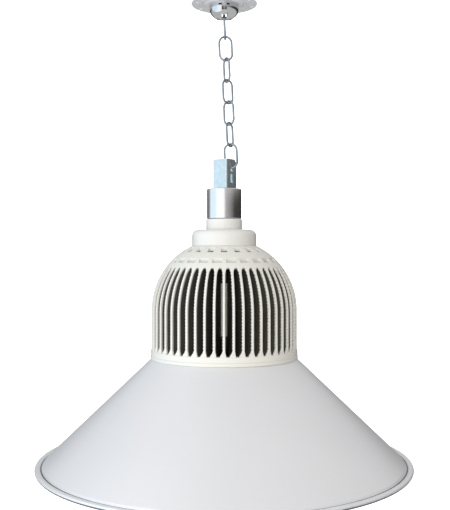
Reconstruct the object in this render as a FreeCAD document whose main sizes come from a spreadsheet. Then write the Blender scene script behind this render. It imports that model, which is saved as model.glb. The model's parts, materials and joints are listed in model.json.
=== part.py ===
import FreeCAD, Part
import math
import os
import re
import Sketcher

# Hanging grow lamp: ceiling plate, seven-link chain, bracket, screw lampholder and a lamp with
# a finned heatsink and a wide cone reflector. Millimetres, +Z up, origin on the ceiling plate's
# mounting face. Pieces of the lamp are drawn from the top of its lampholder and moved down
# to where the chain ends.

Vector = FreeCAD.Vector
Rotation = FreeCAD.Rotation
Placement = FreeCAD.Placement

SIZES = {
    # Ceiling plate: a pressed disc whose middle is stepped down by one wall.
    "plate_r": 36.5, "plate_wall": 1.5, "plate_dish_r": 21.0,
    "fixing_circle_r": 31.3, "fixing_hole_r": 2.25, "fixing_count": 8, "fixing_turn": 14.0,
    # Chromed dome under the plate, its slot for the chain, its rivets and its cross pin.
    "dome_r": 16.35, "dome_side": 3.7, "dome_nose": 12.0, "dome_wall": 1.5, "dome_foot": 7.0,
    "dome_slot": 5.5, "dome_tee": 12.0, "dome_tee_height": 1.8,
    "rivet_circle_r": 12.0, "rivet_r": 1.4, "rivet_count": 4,
    "rivet_head_share": 1.8,
    "pin_r": 2.0, "pin_drop": 13.8, "pin_half": 8.4,
    # Chain.
    "wire_r": 1.2, "link_width": 16.2, "link_inner": 24.0, "link_play": 0.2,
    # Bracket: a folded channel with a hook hole in its web.
    "bracket_web": 20.0, "bracket_flange": 18.5, "bracket_wall": 1.6, "bracket_height": 33.0,
    "bracket_turn": 55.0, "bracket_bevel": 5.0, "hook_hole_r": 3.0, "hook_height": 23.35,
    "hook_play": 0.3, "hook_offset": 8.0, "bracket_slot_r": 2.9, "bracket_slot_straight": 5.2,
    "bracket_slot_low": 6.4, "foot_length": 17.0, "foot_screw_inset": 8.0,
    "foot_screw_pitch": 8.2,
    # Lampholder.
    "holder_r": 19.1, "holder_length": 33.0, "holder_wall": 1.2, "wiring_space": 6.3,
    "insulator_gap": 0.4, "insulator_top": 4.0, "insulator_length": 24.0,
    "contact_wall": 0.8, "contact_width": 6.0, "contact_length": 22.0,
    "terminal_offset": 11.0, "bush_r": 4.2, "bush_hole_r": 2.5, "bush_drop": 4.8,
    "bush_neck": 1.0, "bush_grip": 1.2, "bush_lip": 1.4, "holder_round": 1.0,
    "insulator_bevel": 1.5, "shell_gap": 0.2, "spacer_wall": 1.2, "spacer_fit": 0.1,
    # Screw cap of the lamp.
    "thread_r": 13.1, "thread_depth": 0.8, "thread_pitch": 3.6, "thread_fit": 0.2,
    "thread_wall": 0.6, "thread_turns": 4, "button_r": 4.6, "button_height": 1.5,
    "frustum_height": 3.4, "frustum_r": 10.4, "button_bevel": 1.1, "cap_mouth": 1.5,
    "cap_shoulder": 0.6,
    # Neck collar and driver cap.
    "neck_gap": 0.4, "neck_step": 0.85, "neck_height": 11.8, "neck_spigot_r": 11.4,
    "neck_bore_r": 6.0, "neck_round": 1.0, "spigot_height": 6.0, "collar_screw_inset": 5.0,
    "collar_screw_count": 3, "collar_grip": 4.0, "collar_hole_depth": 5.0, "cap_r": 35.7, 
    "cap_height": 18.0, "cap_wall": 2.2, "cap_round": 3.6, "cap_screw_gap": 0.3,
    "cap_screw_count": 4, "cap_screw_sink": 1.9, "cap_screw_grip": 5.0, "post_wall": 2.0,
    # Heatsink casting.
    "sink_r": 80.3, "crown_inset": 1.8, "crown_wall": 3.5, "crown_step": 0.6,
    "crown_drop": 23.0,
    "sink_length": 123.5, "chamber_r": 27.5, "core_wall": 3.5, "base_wall": 6.5, "ring_step": 1.0,
    "ring_height": 10.0, "ring_wall": 7.3, "fin_count": 50, "fin_wall": 2.0,
    "upper_slots": 20, "upper_slot_gap": 7.5, "upper_slot_length": 7.6, "upper_slot_width": 6.6,
    "lower_slots": 25, "slot_row_pitch": 13.8, "lower_slot_length": 4.6, "lower_slot_width": 10.2,
    "wire_hole_r": 4.0, "rim_r": 61.5, "rim_wall": 4.2, "rim_depth": 6.0,
    "crown_root": 6.0, "crown_root_drop": 3.0, "fin_root_in": 4.0, "fin_root_rise": 6.0,
    "fin_step": 1.2, "fin_overlap": 1.0,
    # Reflector: cone with a bolted flange above and a rolled edge below.
    "shade_wall": 1.2, "shade_top_inset": 0.3, "shade_flange_gap": 2.5, "shade_low_r": 196.8,
    "shade_drop": 110.5, "shade_lip": 5.6, "shade_lip_fall": 0.6, "bead_r": 2.4,
    # Light unit under the heatsink.
    "pad_wall": 0.5, "board_gap": 3.3, "board_wall": 1.6, "chip_side": 4.0, "chip_height": 1.8,
    "chip_ring_r": 12.0, "chip_ring_step": 12.0, "chip_count": 6,
    "board_screw_inset": 6.0, "board_screw_count": 4,
    "seal_wall": 2.0, "seal_fit": 0.2, "lens_wall": 3.0, "lens_fit": 0.3,
    "bezel_edge": 5.5, "bezel_wall": 3.5, "bezel_overlap": 4.0, "bezel_lip": 1.5,
    "bezel_neck": 3.5, "bezel_bevel": 1.0,
    "bezel_screw_step": 9.0, "bezel_screw_count": 6,
    # Driver inside the heatsink's core.
    "sleeve_wall": 1.0, "sleeve_fit": 0.3, "driver_width": 46.0, "driver_length": 96.0,
    "driver_wall": 1.6, "driver_drop": 7.0, "sleeve_drop": 1.0,
    "lead_r": 0.9, "input_spread": 2.5, "output_spread": 1.6, "lead_reach": 1.0,
    "core_half": 12.0, "core_depth": 17.0, "core_height": 24.0, "core_rise": 34.0,
    "winding_half": 8.0, "winding_near": 2.0, "winding_far": 15.0, "winding_height": 30.0,
    "winding_rise": 31.0, "can_r": 7.0, "can_length": 18.0, "coil_ring_r": 10.0,
    "coil_bore_r": 5.0, "coil_length": 8.0, "coil_rise": 78.0,
    # Screws of the two sizes used, the play in their holes, and how far one reaches into
    # the piece that holds it.
    "screw_r": 1.9, "head_r": 3.4, "head_height": 2.2, "hole_play": 0.25, "screw_grip": 3.0,
    "small_screw_r": 1.4, "small_head_r": 2.6, "small_head_height": 1.7,
    "small_hole_play": 0.2, "head_play": 0.15,
}

# Heights and radii that follow from the sizes; each may use the ones before it.
FORMULAS = {
    "dome_top": "-(2 * plate_wall)",
    "dome_bottom": "(dome_top - dome_side - dome_nose)",
    "pin_height": "(dome_top - pin_drop)",
    "bend_r": "(link_width / 2 - wire_r)",
    "strand": "(link_inner - 2 * (bend_r - wire_r))",
    "hook_hole_height": "(hook_height + wire_r + hook_play - hook_hole_r)",
    "insulator_r": "(holder_r - holder_wall - insulator_gap)",
    "insulator_height": "-(holder_wall + wiring_space)",
    "contact_height": "(insulator_height - insulator_top)",
    "button_top": "(contact_height - contact_wall)",
    "frustum_top": "(button_top - button_height)",
    "screw_cap_top": "(frustum_top - frustum_height)",
    "neck_r": "(holder_r + neck_step)",
    "neck_top": "-(holder_length + neck_gap)",
    "neck_low": "(neck_top - neck_height)",
    "cap_low": "(neck_low - cap_height)",
    "cap_screw_circle_r": "(chamber_r + small_screw_r + cap_screw_gap)",
    "core_r": "(chamber_r + core_wall)",
    "ring_r": "(sink_r + ring_step)",
    "ring_inner_r": "(ring_r - ring_wall)",
    "crown_top_r": "(cap_r + crown_step)",
    "upper_slot_r": "(crown_top_r + upper_slot_gap)",
    "lower_slot_r": "(upper_slot_r + slot_row_pitch)",
    "crown_r": "(sink_r - crown_inset)",
    "crown_centre_r": "crown_inset",
    "crown_centre": "(cap_low - sqrt(crown_r^2 - (crown_top_r - crown_centre_r)^2))",
    "crown_inner_r": "(crown_r - crown_wall)",
    "crown_lip": "(cap_low - crown_drop)",
    "base_low": "(cap_low - sink_length)",
    "base_top": "(base_low + base_wall)",
    "rim_low": "(base_low - rim_depth)",
    "board_r": "(rim_r - rim_wall - board_gap)",
    "board_screw_circle_r": "(board_r - board_screw_inset)",
    "board_low": "(base_low - pad_wall - board_wall)",
    "lens_top": "(rim_low - seal_wall)",
    "lens_low": "(lens_top - lens_wall)",
    "bezel_screw_circle_r": "(rim_r + bezel_screw_step)",
    "bezel_r": "(bezel_screw_circle_r + bezel_edge)",
    "bezel_bore_r": "(rim_r - bezel_overlap)",
    "bezel_top": "(base_low - shade_wall)",
    "bezel_low": "(lens_low - bezel_lip)",
    "shade_flange_r": "(rim_r + shade_flange_gap)",
    "shade_top_r": "(sink_r - shade_top_inset)",
    "shade_low": "(base_low - shade_drop)",
    "driver_top": "(cap_low - driver_drop)",
    "driver_low": "(driver_top - driver_length)",
}

# Heights of the driver's capacitors over the foot of its board.
CAN_RISES = [12, 30, 70]

DOC = FreeCAD.newDocument("GrowLamp")
SHEET = DOC.addObject("Spreadsheet::Sheet", "Sizes")
PIECES = []


def fill_sheet():
    """Write every driving size into the sheet and name its cell."""
    for row, (alias, number) in enumerate(SIZES.items(), start=1):
        SHEET.set(f"A{row}", str(number))
        SHEET.setAlias(f"A{row}", alias)
    DOC.recompute()


def spell(formula):
    """Turn a formula in plain names into one that reads the sheet's cells."""
    def replace(match):
        word = match.group()
        if word in FORMULAS:
            return spell(FORMULAS[word])
        return f"Sizes.{word}" if word in SIZES else word
    return re.sub(r"[a-z]\w*", replace, str(formula))


def value(formula):
    """The number that a formula gives with the sheet as it stands."""
    return float(SHEET.evalExpression(spell(formula)))


def bind(target, path, formula):
    """Tie one property or constraint of an object to the sheet."""
    target.setExpression(path, spell(formula))


def new_body(name, lamp_piece=True):
    """A PartDesign body that becomes the node of that name."""
    body = DOC.addObject("PartDesign::Body", name)
    body.Label = name
    PIECES.append((body, lamp_piece))
    return body


def origin_feature(body, role):
    return next(item for item in body.Origin.OriginFeatures if item.Role == role)


def new_sketch(body, role, height="0", turn="0"):
    """A sketch on one of the body's own planes, raised along its normal and turned in it."""
    sketch = body.newObject("Sketcher::SketchObject", "Sketch")
    sketch.AttachmentSupport = [(origin_feature(body, role), "")]
    sketch.MapMode = "FlatFace"
    spin = Rotation(Vector(0, 0, 1), value(turn))
    sketch.AttachmentOffset = Placement(Vector(0, 0, value(height)), spin)
    bind(sketch, ".AttachmentOffset.Base.z", height)
    return sketch


def place_point(sketch, edge, end, spot):
    """Hold one end of an edge at a bound place."""
    for kind, path in zip(("DistanceX", "DistanceY"), spot):
        number = sketch.addConstraint(Sketcher.Constraint(kind, -1, 1, edge, end, value(path)))
        bind(sketch, f"Constraints[{number}]", path)


def arc_edge(start, finish, radius):
    """Arc from start to finish; a positive radius bends to the left of the way along."""
    chord = finish - start
    reach = math.sqrt(max(radius ** 2 - (chord.Length / 2) ** 2, 0.0))
    side = Vector(-chord.y, chord.x, 0).normalize()
    centre = (start + finish) / 2 + side * (reach if radius > 0 else -reach)
    ring = Part.Circle(centre, Vector(0, 0, 1), abs(radius))
    first, last = (start, finish) if radius > 0 else (finish, start)
    low = math.atan2(first.y - centre.y, first.x - centre.x)
    high = math.atan2(last.y - centre.y, last.x - centre.x)
    if high <= low:
        high += 2 * math.pi
    return Part.ArcOfCircle(ring, low, high)


def is_half_circle(start, finish):
    """Whether an arc's two ends already fix its size."""
    span = math.hypot(value(finish[0]) - value(start[0]), value(finish[1]) - value(start[1]))
    return math.isclose(span, 2 * abs(value(finish[2])), rel_tol=1e-6)


def outline(body, corners, role="XZ_Plane", height="0", turn="0"):
    """A closed sketch through bound corners.

    Each corner is (across, up) or (across, up, radius): the radius makes the edge that
    arrives at the corner an arc, bending left when positive.
    """
    sketch = new_sketch(body, role, height, turn)
    count = len(corners)
    ends = []
    for number in range(count):
        target = corners[(number + 1) % count]
        start = Vector(value(corners[number][0]), value(corners[number][1]), 0)
        finish = Vector(value(target[0]), value(target[1]), 0)
        if len(target) == 3:
            bend = value(target[2])
            edge = sketch.addGeometry(arc_edge(start, finish, bend), False)
            ends.append((1, 2) if bend > 0 else (2, 1))
        else:
            edge = sketch.addGeometry(Part.LineSegment(start, finish), False)
            ends.append((1, 2))
    for number in range(count):
        after = (number + 1) % count
        joint = Sketcher.Constraint("Coincident", number, ends[number][1], after, ends[after][0])
        sketch.addConstraint(joint)
    for number in range(count):
        place_point(sketch, number, ends[number][0], corners[number][:2])
        target = corners[(number + 1) % count]
        if len(target) == 3 and not is_half_circle(corners[number], target):
            size = Sketcher.Constraint("Radius", number, abs(value(target[2])))
            bound = sketch.addConstraint(size)
            bind(sketch, f"Constraints[{bound}]", f"abs({target[2]})")
    return sketch


def circles(body, spots, role="XY_Plane", height="0", turn="0"):
    """A sketch of circles, each (across, up, radius)."""
    sketch = new_sketch(body, role, height, turn)
    for number, (across, up, radius) in enumerate(spots):
        middle = Vector(value(across), value(up), 0)
        sketch.addGeometry(Part.Circle(middle, Vector(0, 0, 1), value(radius)), False)
        place_point(sketch, number, 3, (across, up))
        size = Sketcher.Constraint("Radius", number, value(radius))
        bound = sketch.addConstraint(size)
        bind(sketch, f"Constraints[{bound}]", radius)
    return sketch


def block(body, low, high, length, height="0", turn="0", role="XY_Plane"):
    """A pad over the rectangle between two corners."""
    corners = [low, (high[0], low[1]), high, (low[0], high[1])]
    return pad(body, outline(body, corners, role, height, turn), length)


def revolve(body, sketch):
    feature = body.newObject("PartDesign::Revolution", "Revolution")
    feature.Profile = sketch
    feature.ReferenceAxis = (sketch, ["V_Axis"])
    feature.Angle = 360
    body.Tip = feature
    return feature


def pad(body, sketch, length, midplane=False):
    feature = body.newObject("PartDesign::Pad", "Pad")
    feature.Profile = sketch
    feature.Midplane = midplane
    bind(feature, "Length", length)
    body.Tip = feature
    return feature


def pocket(body, sketch, length=None, upward=False, both_ways=False):
    """Cut a sketch downward through everything, or to a length."""
    feature = body.newObject("PartDesign::Pocket", "Pocket")
    feature.Profile = sketch
    feature.Reversed = upward
    feature.Midplane = both_ways
    if length is None:
        feature.Type = "ThroughAll"
    else:
        bind(feature, "Length", length)
    body.Tip = feature
    return feature


def repeat(body, features, count):
    """Repeat features evenly round the body's Z axis."""
    feature = body.newObject("PartDesign::PolarPattern", "PolarPattern")
    feature.Originals = features
    feature.Axis = (origin_feature(body, "Z_Axis"), [""])
    feature.Angle = 360
    bind(feature, "Occurrences", count)
    body.Tip = feature
    return feature


def turned(name, corners, lamp_piece=True):
    """A piece turned on a lathe: one closed outline of (radius, height) corners."""
    body = new_body(name, lamp_piece)
    revolve(body, outline(body, corners))
    return body


def drill(body, circle_r, radius, top, depth=None, count=None, turn="0"):
    """Holes down from a height, on a circle round the axis."""
    hole = pocket(body, circles(body, [(circle_r, "0", radius)], height=top, turn=turn), depth)
    if count is not None:
        repeat(body, [hole], count)


def pan_screws(name, circle_r, count, seat, reach, small=False, head_up=True, turn="0"):
    """Pan-head screws evenly on a circle; each head sits on a face at the seat height."""
    kind = "small_" if small else ""
    body = new_body(name)
    shank_low = f"({seat} - ({reach}))" if head_up else seat
    head_low = seat if head_up else f"({seat} - {kind}head_height)"
    shank = circles(body, [(circle_r, "0", f"{kind}screw_r")], height=shank_low, turn=turn)
    head = circles(body, [(circle_r, "0", f"{kind}head_r")], height=head_low, turn=turn)
    features = [pad(body, shank, reach), pad(body, head, f"{kind}head_height")]
    repeat(body, features, count)
    return body


# ---------------------------------------------------------------- ceiling plate and dome


def ceiling_plate():
    """Pressed disc; its stepped-down middle carries the dome, its rim the fixing holes."""
    body = turned("ceiling_plate", [
        ("0", "-plate_wall"),
        ("plate_dish_r - plate_wall", "-plate_wall"),
        ("plate_dish_r", "0"),
        ("plate_r", "0"),
        ("plate_r", "-plate_wall"),
        ("plate_dish_r + plate_wall", "-plate_wall"),
        ("plate_dish_r", "dome_top"),
        ("0", "dome_top"),
    ], lamp_piece=False)
    drill(body, "fixing_circle_r", "fixing_hole_r", "0", count="fixing_count",
          turn="fixing_turn")
    drill(body, "rivet_circle_r", "rivet_r", "0", count="rivet_count", turn="45")


def ceiling_dome():
    """Hollow chromed dome with an inward foot, slotted front to back for the chain."""
    inner_r = "(dome_r - dome_wall)"
    nose = "(dome_nose - dome_wall)"
    side_low = "(dome_top - dome_side)"
    body = new_body("ceiling_dome", lamp_piece=False)
    revolve(body, outline(body, [
        ("dome_foot", "dome_top"),
        ("dome_r", "dome_top"),
        ("dome_r", side_low),
        ("0.84 * dome_r", f"{side_low} - 0.543 * dome_nose", "-dome_r"),
        ("0", "dome_bottom", "-1.25 * dome_r"),
        ("0", "dome_bottom + dome_wall"),
        (f"0.84 * {inner_r}", f"{side_low} - 0.543 * {nose}", f"1.25 * {inner_r}"),
        (inner_r, side_low, inner_r),
        (inner_r, "dome_top - dome_wall"),
        ("dome_foot", "dome_top - dome_wall"),
    ]))
    slot_top = "(dome_top - dome_wall)"
    pocket(body, outline(body, [
        ("-dome_slot / 2", "dome_bottom - 1"),
        ("dome_slot / 2", "dome_bottom - 1"),
        ("dome_slot / 2", f"{slot_top} - dome_tee_height"),
        ("dome_tee / 2", f"{slot_top} - dome_tee_height"),
        ("dome_tee / 2", slot_top),
        ("-dome_tee / 2", slot_top),
        ("-dome_tee / 2", f"{slot_top} - dome_tee_height"),
        ("-dome_slot / 2", f"{slot_top} - dome_tee_height"),
    ]), both_ways=True)
    pocket(body, circles(body, [("0", "pin_height", "pin_r")], role="YZ_Plane"),
           both_ways=True)
    drill(body, "rivet_circle_r", "rivet_r", "dome_top", "dome_wall", "rivet_count", "45")


def dome_pin():
    """Cross pin that the top link hangs on, pressed into the dome's two walls."""
    body = new_body("dome_pin", lamp_piece=False)
    pad(body, circles(body, [("0", "pin_height", "pin_r")], role="YZ_Plane"),
        "2 * pin_half", midplane=True)


def dome_rivets():
    """Rivets through plate and foot, headed inside the plate's stepped middle."""
    body = new_body("dome_rivets", lamp_piece=False)
    head = "(0.7 * plate_wall)"
    levels = [
        ("dome_top - dome_wall", "rivet_r", "plate_wall + dome_wall"),
        ("-plate_wall", "rivet_head_share * rivet_r", head),
        (f"dome_top - dome_wall - {head}", "rivet_head_share * rivet_r", head),
    ]
    features = [
        pad(body, circles(body, [("rivet_circle_r", "0", radius)], height=low, turn="45"), rise)
        for low, radius, rise in levels
    ]
    repeat(body, features, "rivet_count")


# ---------------------------------------------------------------- chain

# Turn of each link about the chain, in degrees, from the top: the chain hangs twisted.
LINK_TURNS = [90, 5, -65, 42, -42, 62, -12]


def hang_points():
    """The points the chain turns about, from the dome's pin to the bracket's hook hole."""
    first = value("link_inner - pin_r - link_play + wire_r")
    pitch = value("link_inner - link_play")
    reach = first + pitch * (len(LINK_TURNS) - 1)
    lean = math.asin(value("hook_offset") / reach)
    way = Vector(math.sin(lean), 0, -math.cos(lean))
    top = Vector(0, 0, value("pin_height"))
    points = [top]
    for number in range(len(LINK_TURNS)):
        points.append(top + way * (first + pitch * number))
    return points, way, math.degrees(lean)


def chain_links():
    """Oval links, each hanging in the one above."""
    points, way, lean = hang_points()
    half = value("link_inner / 2 + wire_r")
    up = Vector(0, 0, 1)
    for number, turn in enumerate(LINK_TURNS, start=1):
        body = new_body(f"chain_link_{number}", lamp_piece=False)
        path = outline(body, [
            ("bend_r", "0"),
            ("bend_r", "strand / 2"),
            ("-bend_r", "strand / 2", "bend_r"),
            ("-bend_r", "-strand / 2"),
            ("bend_r", "-strand / 2", "bend_r"),
        ])
        pipe = body.newObject("PartDesign::AdditivePipe", "Pipe")
        pipe.Profile = circles(body, [("bend_r", "0", "wire_r")])
        pipe.Spine = path
        body.Tip = pipe
        spin = Rotation(Vector(0, 1, 0), -lean) * Rotation(up, turn)
        body.Placement = Placement(points[number] - way * half, spin)


# ---------------------------------------------------------------- bracket


def bracket_placement():
    """The channel's outer corner, set so that the hook hole lies under the chain."""
    spin = Rotation(Vector(0, 0, 1), value("bracket_turn"))
    hole = Vector(value("bracket_web / 2"), value("bracket_wall / 2"), 0)
    return Placement(Vector(value("hook_offset"), 0, 0) - spin.multVec(hole), spin)


def foot_screw_spots():
    """Places of the two foot screws in the bracket's own plane."""
    middle = "bracket_flange / 2"
    return [
        ("foot_screw_inset", f"{middle} - foot_screw_pitch / 2"),
        ("foot_screw_inset", f"{middle} + foot_screw_pitch / 2"),
    ]


def hanging_bracket():
    """Galvanised channel: web with a hook hole and a slot, two flanges and a foot."""
    body = new_body("hanging_bracket")
    wall = "bracket_wall"
    pad(body, outline(body, [
        ("0", "0"),
        ("bracket_web", "0"),
        ("bracket_web", "bracket_flange"),
        (f"bracket_web - {wall}", "bracket_flange"),
        (f"bracket_web - {wall}", wall),
        (wall, wall),
        (wall, "bracket_flange"),
        ("0", "bracket_flange"),
    ], "XY_Plane"), "bracket_height")
    block(body, (f"1.5 * {wall}", f"{wall} / 2"),
          (f"bracket_web - 1.5 * {wall}", "foot_length"), wall)
    pocket(body, outline(body, [
        ("bracket_web - bracket_bevel", "bracket_height"),
        ("bracket_web", "bracket_height - bracket_bevel"),
        ("bracket_web + 1", "bracket_height - bracket_bevel"),
        ("bracket_web + 1", "bracket_height + 1"),
        ("bracket_web - bracket_bevel", "bracket_height + 1"),
    ]), both_ways=True)
    pocket(body, circles(body, [("bracket_web / 2", "hook_hole_height", "hook_hole_r")],
                         "XZ_Plane"), both_ways=True)
    left = "(bracket_web / 2 - bracket_slot_r)"
    right = "(bracket_web / 2 + bracket_slot_r)"
    low = "(bracket_slot_low + bracket_slot_r)"
    high = f"({low} + bracket_slot_straight)"
    pocket(body, outline(body, [
        (left, low),
        (right, low, "bracket_slot_r"),
        (right, high),
        (left, high, "bracket_slot_r"),
    ]), both_ways=True)
    holes = [spot + ("screw_r + hole_play",) for spot in foot_screw_spots()]
    pocket(body, circles(body, holes, height="2 * bracket_wall"), "3 * bracket_wall")
    body.Placement = bracket_placement()


def bracket_screws():
    """Two long screws that hold bracket, lampholder and porcelain together."""
    body = new_body("bracket_screws")
    spots = foot_screw_spots()
    reach = "(screw_grip - insulator_height)"
    shanks = circles(body, [spot + ("screw_r",) for spot in spots], height=f"-{reach}")
    pad(body, shanks, f"{reach} + bracket_wall")
    heads = circles(body, [spot + ("head_r",) for spot in spots], height="bracket_wall")
    pad(body, heads, "head_height")
    body.Placement = bracket_placement()


def holder_spacers():
    """Tubes on the bracket screws, between the holder's top and the porcelain."""
    body = new_body("holder_spacers")
    spots = foot_screw_spots()
    outer = [spot + ("screw_r + spacer_fit + spacer_wall",) for spot in spots]
    inner = [spot + ("screw_r + spacer_fit",) for spot in spots]
    rings = circles(body, outer + inner, height="insulator_height")
    pad(body, rings, "wiring_space")
    body.Placement = bracket_placement()


# ---------------------------------------------------------------- lampholder


def pocket_foot_holes(body, radius, height, length):
    """Holes for the bracket screws in a piece of the lampholder."""
    place = bracket_placement()
    for across, up in foot_screw_spots():
        spot = place.multVec(Vector(value(across), value(up), 0))
        sketch = new_sketch(body, "XY_Plane", height)
        sketch.addGeometry(Part.Circle(Vector(spot.x, spot.y, 0), Vector(0, 0, 1),
                                       value(radius)), False)
        pocket(body, sketch, length)


def holder_shell():
    """Polished metal cup over the porcelain, with a wire entry at the back."""
    body = turned("holder_shell", [
        ("0", "0"),
        ("holder_r - holder_round", "0"),
        ("holder_r", "-holder_round", "-holder_round"),
        ("holder_r", "-holder_length"),
        ("holder_r - holder_wall", "-holder_length"),
        ("holder_r - holder_wall", "-holder_wall"),
        ("0", "-holder_wall"),
    ])
    pocket_foot_holes(body, "screw_r + hole_play", "0", "holder_wall")
    hole = circles(body, [("0", "-bush_drop", "bush_r - bush_neck")], "XZ_Plane")
    pocket(body, hole, "holder_r + holder_wall")


def wire_entry_bush():
    """Rubber bush in the back of the holder, where a supply cable goes in."""
    body = new_body("wire_entry_bush")
    inner = "(holder_r - holder_wall - bush_grip)"
    ring = circles(body, [("0", "-bush_drop", "bush_r - bush_neck")], "XZ_Plane",
                   height=f"-{inner}")
    tube = pad(body, ring, "holder_wall + bush_grip + bush_lip")
    tube.Reversed = True
    collar = circles(body, [("0", "-bush_drop", "bush_r")], "XZ_Plane", height="-holder_r")
    flange = pad(body, collar, "bush_lip")
    flange.Reversed = True
    bore = circles(body, [("0", "-bush_drop", "bush_hole_r")], "XZ_Plane")
    pocket(body, bore, "holder_r + 2 * bush_lip")


def holder_insulator():
    """Porcelain body with a bore for the screw shell."""
    bore = "(thread_r + thread_fit + thread_wall + shell_gap)"
    low = "(insulator_height - insulator_length)"
    body = turned("holder_insulator", [
        ("0", "insulator_height"),
        ("insulator_r - insulator_bevel", "insulator_height"),
        ("insulator_r", "insulator_height - insulator_bevel"),
        ("insulator_r", low),
        (bore, low),
        (bore, "contact_height"),
        ("0", "contact_height"),
    ])
    pocket_foot_holes(body, "screw_r", "insulator_height", "screw_grip")
    terminal_holes = circles(body, [("-terminal_offset", "0", "small_screw_r"),
                                    ("0", "-terminal_offset", "small_screw_r")],
                             height="insulator_height")
    pocket(body, terminal_holes, "screw_grip")


def terminal_screws():
    """Two brass screws that clamp the supply wires on the porcelain."""
    body = new_body("terminal_screws")
    spots = [("-terminal_offset", "0"), ("0", "-terminal_offset")]
    shanks = circles(body, [spot + ("small_screw_r",) for spot in spots],
                     height="insulator_height - screw_grip")
    pad(body, shanks, "screw_grip")
    heads = circles(body, [spot + ("small_head_r",) for spot in spots],
                    height="insulator_height")
    pad(body, heads, "small_head_height")


def holder_contact():
    """Brass strip under the porcelain's top that touches the lamp's centre button."""
    body = new_body("holder_contact")
    half = "contact_length / 2"
    side = "contact_width / 2"
    block(body, (f"-{half}", f"-{side}"), (half, side), "contact_wall", height="button_top")


def thread_corners(offset, top):
    """Rings of a rolled lamp thread from the top down, moved outward by an offset."""
    corners = []
    for number in range(SIZES["thread_turns"]):
        height = f"{top} - {number} * thread_pitch"
        corners.append((f"thread_r - thread_depth + {offset}", height))
        corners.append((f"thread_r + {offset}", f"{height} - thread_pitch / 2"))
    return corners


def holder_screw_shell():
    """Threaded brass shell that the lamp's cap screws into."""
    top = "(screw_cap_top - thread_pitch / 4)"
    outer = thread_corners("thread_fit + thread_wall", top)
    inner = thread_corners("thread_fit", top)
    turned("holder_screw_shell", outer + inner[::-1])


def lamp_screw_cap():
    """Nickel-plated screw cap on the lamp's neck."""
    top = "(screw_cap_top - thread_pitch / 4)"
    outer = thread_corners("0", top)
    inner = thread_corners("-thread_wall", top)
    wall = "thread_wall"
    turned("lamp_screw_cap", [
        ("frustum_r - cap_mouth", "screw_cap_top"),
        ("frustum_r + cap_shoulder", "screw_cap_top"),
    ] + outer + [
        ("thread_r - thread_depth", "neck_top"),
        (f"thread_r - thread_depth - {wall}", "neck_top"),
    ] + inner[::-1] + [
        (f"frustum_r + cap_shoulder - {wall}", f"screw_cap_top - {wall}"),
        ("frustum_r - cap_mouth", f"screw_cap_top - {wall}"),
    ])


def lamp_cap_insulator():
    """Dark glass cone between the screw cap and its button."""
    turned("lamp_cap_insulator", [
        ("0", "frustum_top"),
        ("button_r", "frustum_top"),
        ("frustum_r", "screw_cap_top"),
        ("0", "screw_cap_top"),
    ])


def lamp_cap_button():
    """Centre contact of the lamp."""
    turned("lamp_cap_button", [
        ("0", "button_top"),
        ("0.6 * button_r", "button_top"),
        ("button_r", "button_top - button_bevel"),
        ("button_r", "frustum_top"),
        ("0", "frustum_top"),
    ])


# ---------------------------------------------------------------- neck and driver cap


def neck_collar():
    """White collar whose spigot carries the screw cap."""
    body = turned("neck_collar", [
        ("neck_bore_r", "neck_top + spigot_height"),
        ("neck_spigot_r", "neck_top + spigot_height"),
        ("neck_spigot_r", "neck_top"),
        ("neck_r - neck_round", "neck_top"),
        ("neck_r", "neck_top - neck_round", "-neck_round"),
        ("neck_r", "neck_low"),
        ("neck_bore_r", "neck_low"),
    ])
    low_holes = circles(body, [("neck_r - collar_screw_inset", "0", "small_screw_r")],
                        height="neck_low")
    repeat(body, [pocket(body, low_holes, "collar_hole_depth", upward=True)],
           "collar_screw_count")


def collar_screws():
    """Screws from inside the driver cap up into the collar."""
    body = new_body("collar_screws")
    circle_r = "(neck_r - collar_screw_inset)"
    under = "(neck_low - cap_wall)"
    shank = pad(body, circles(body, [(circle_r, "0", "small_screw_r")], height=under),
                "cap_wall + collar_grip")
    head = pad(body, circles(body, [(circle_r, "0", "small_head_r")],
                             height=f"{under} - small_head_height"), "small_head_height")
    repeat(body, [shank, head], "collar_screw_count")


def driver_cap():
    """White cover over the driver, with four screw posts inside and sunk screw seats."""
    wall = "cap_wall"
    body = turned("driver_cap", [
        ("neck_bore_r", "neck_low"),
        ("cap_r - cap_round", "neck_low"),
        ("cap_r", "neck_low - cap_round", "-cap_round"),
        ("cap_r", "cap_low"),
        (f"cap_r - {wall}", "cap_low"),
        (f"cap_r - {wall}", "neck_low - cap_round"),
        ("cap_r - cap_round", f"neck_low - {wall}", f"cap_round - {wall}"),
        ("neck_bore_r", f"neck_low - {wall}"),
    ])
    post = circles(body, [("cap_screw_circle_r", "0", "small_screw_r + post_wall")],
                   height="cap_low", turn="45")
    repeat(body, [pad(body, post, f"cap_height - {wall} / 2")], "cap_screw_count")
    drill(body, "cap_screw_circle_r", "small_screw_r + small_hole_play", "neck_low",
          "cap_height", "cap_screw_count", "45")
    drill(body, "cap_screw_circle_r", "small_head_r + head_play", "neck_low",
          "cap_screw_sink", "cap_screw_count", "45")
    drill(body, "(neck_r - collar_screw_inset)", "small_screw_r + small_hole_play",
          "neck_low", wall, "collar_screw_count")


def cap_screws():
    """Long screws from sunk seats in the cap's top into the heatsink."""
    pan_screws("cap_screws", "cap_screw_circle_r", "cap_screw_count",
               "(neck_low - cap_screw_sink)", "cap_height + cap_screw_grip - cap_screw_sink",
               small=True, turn="45")


# ---------------------------------------------------------------- heatsink


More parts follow.
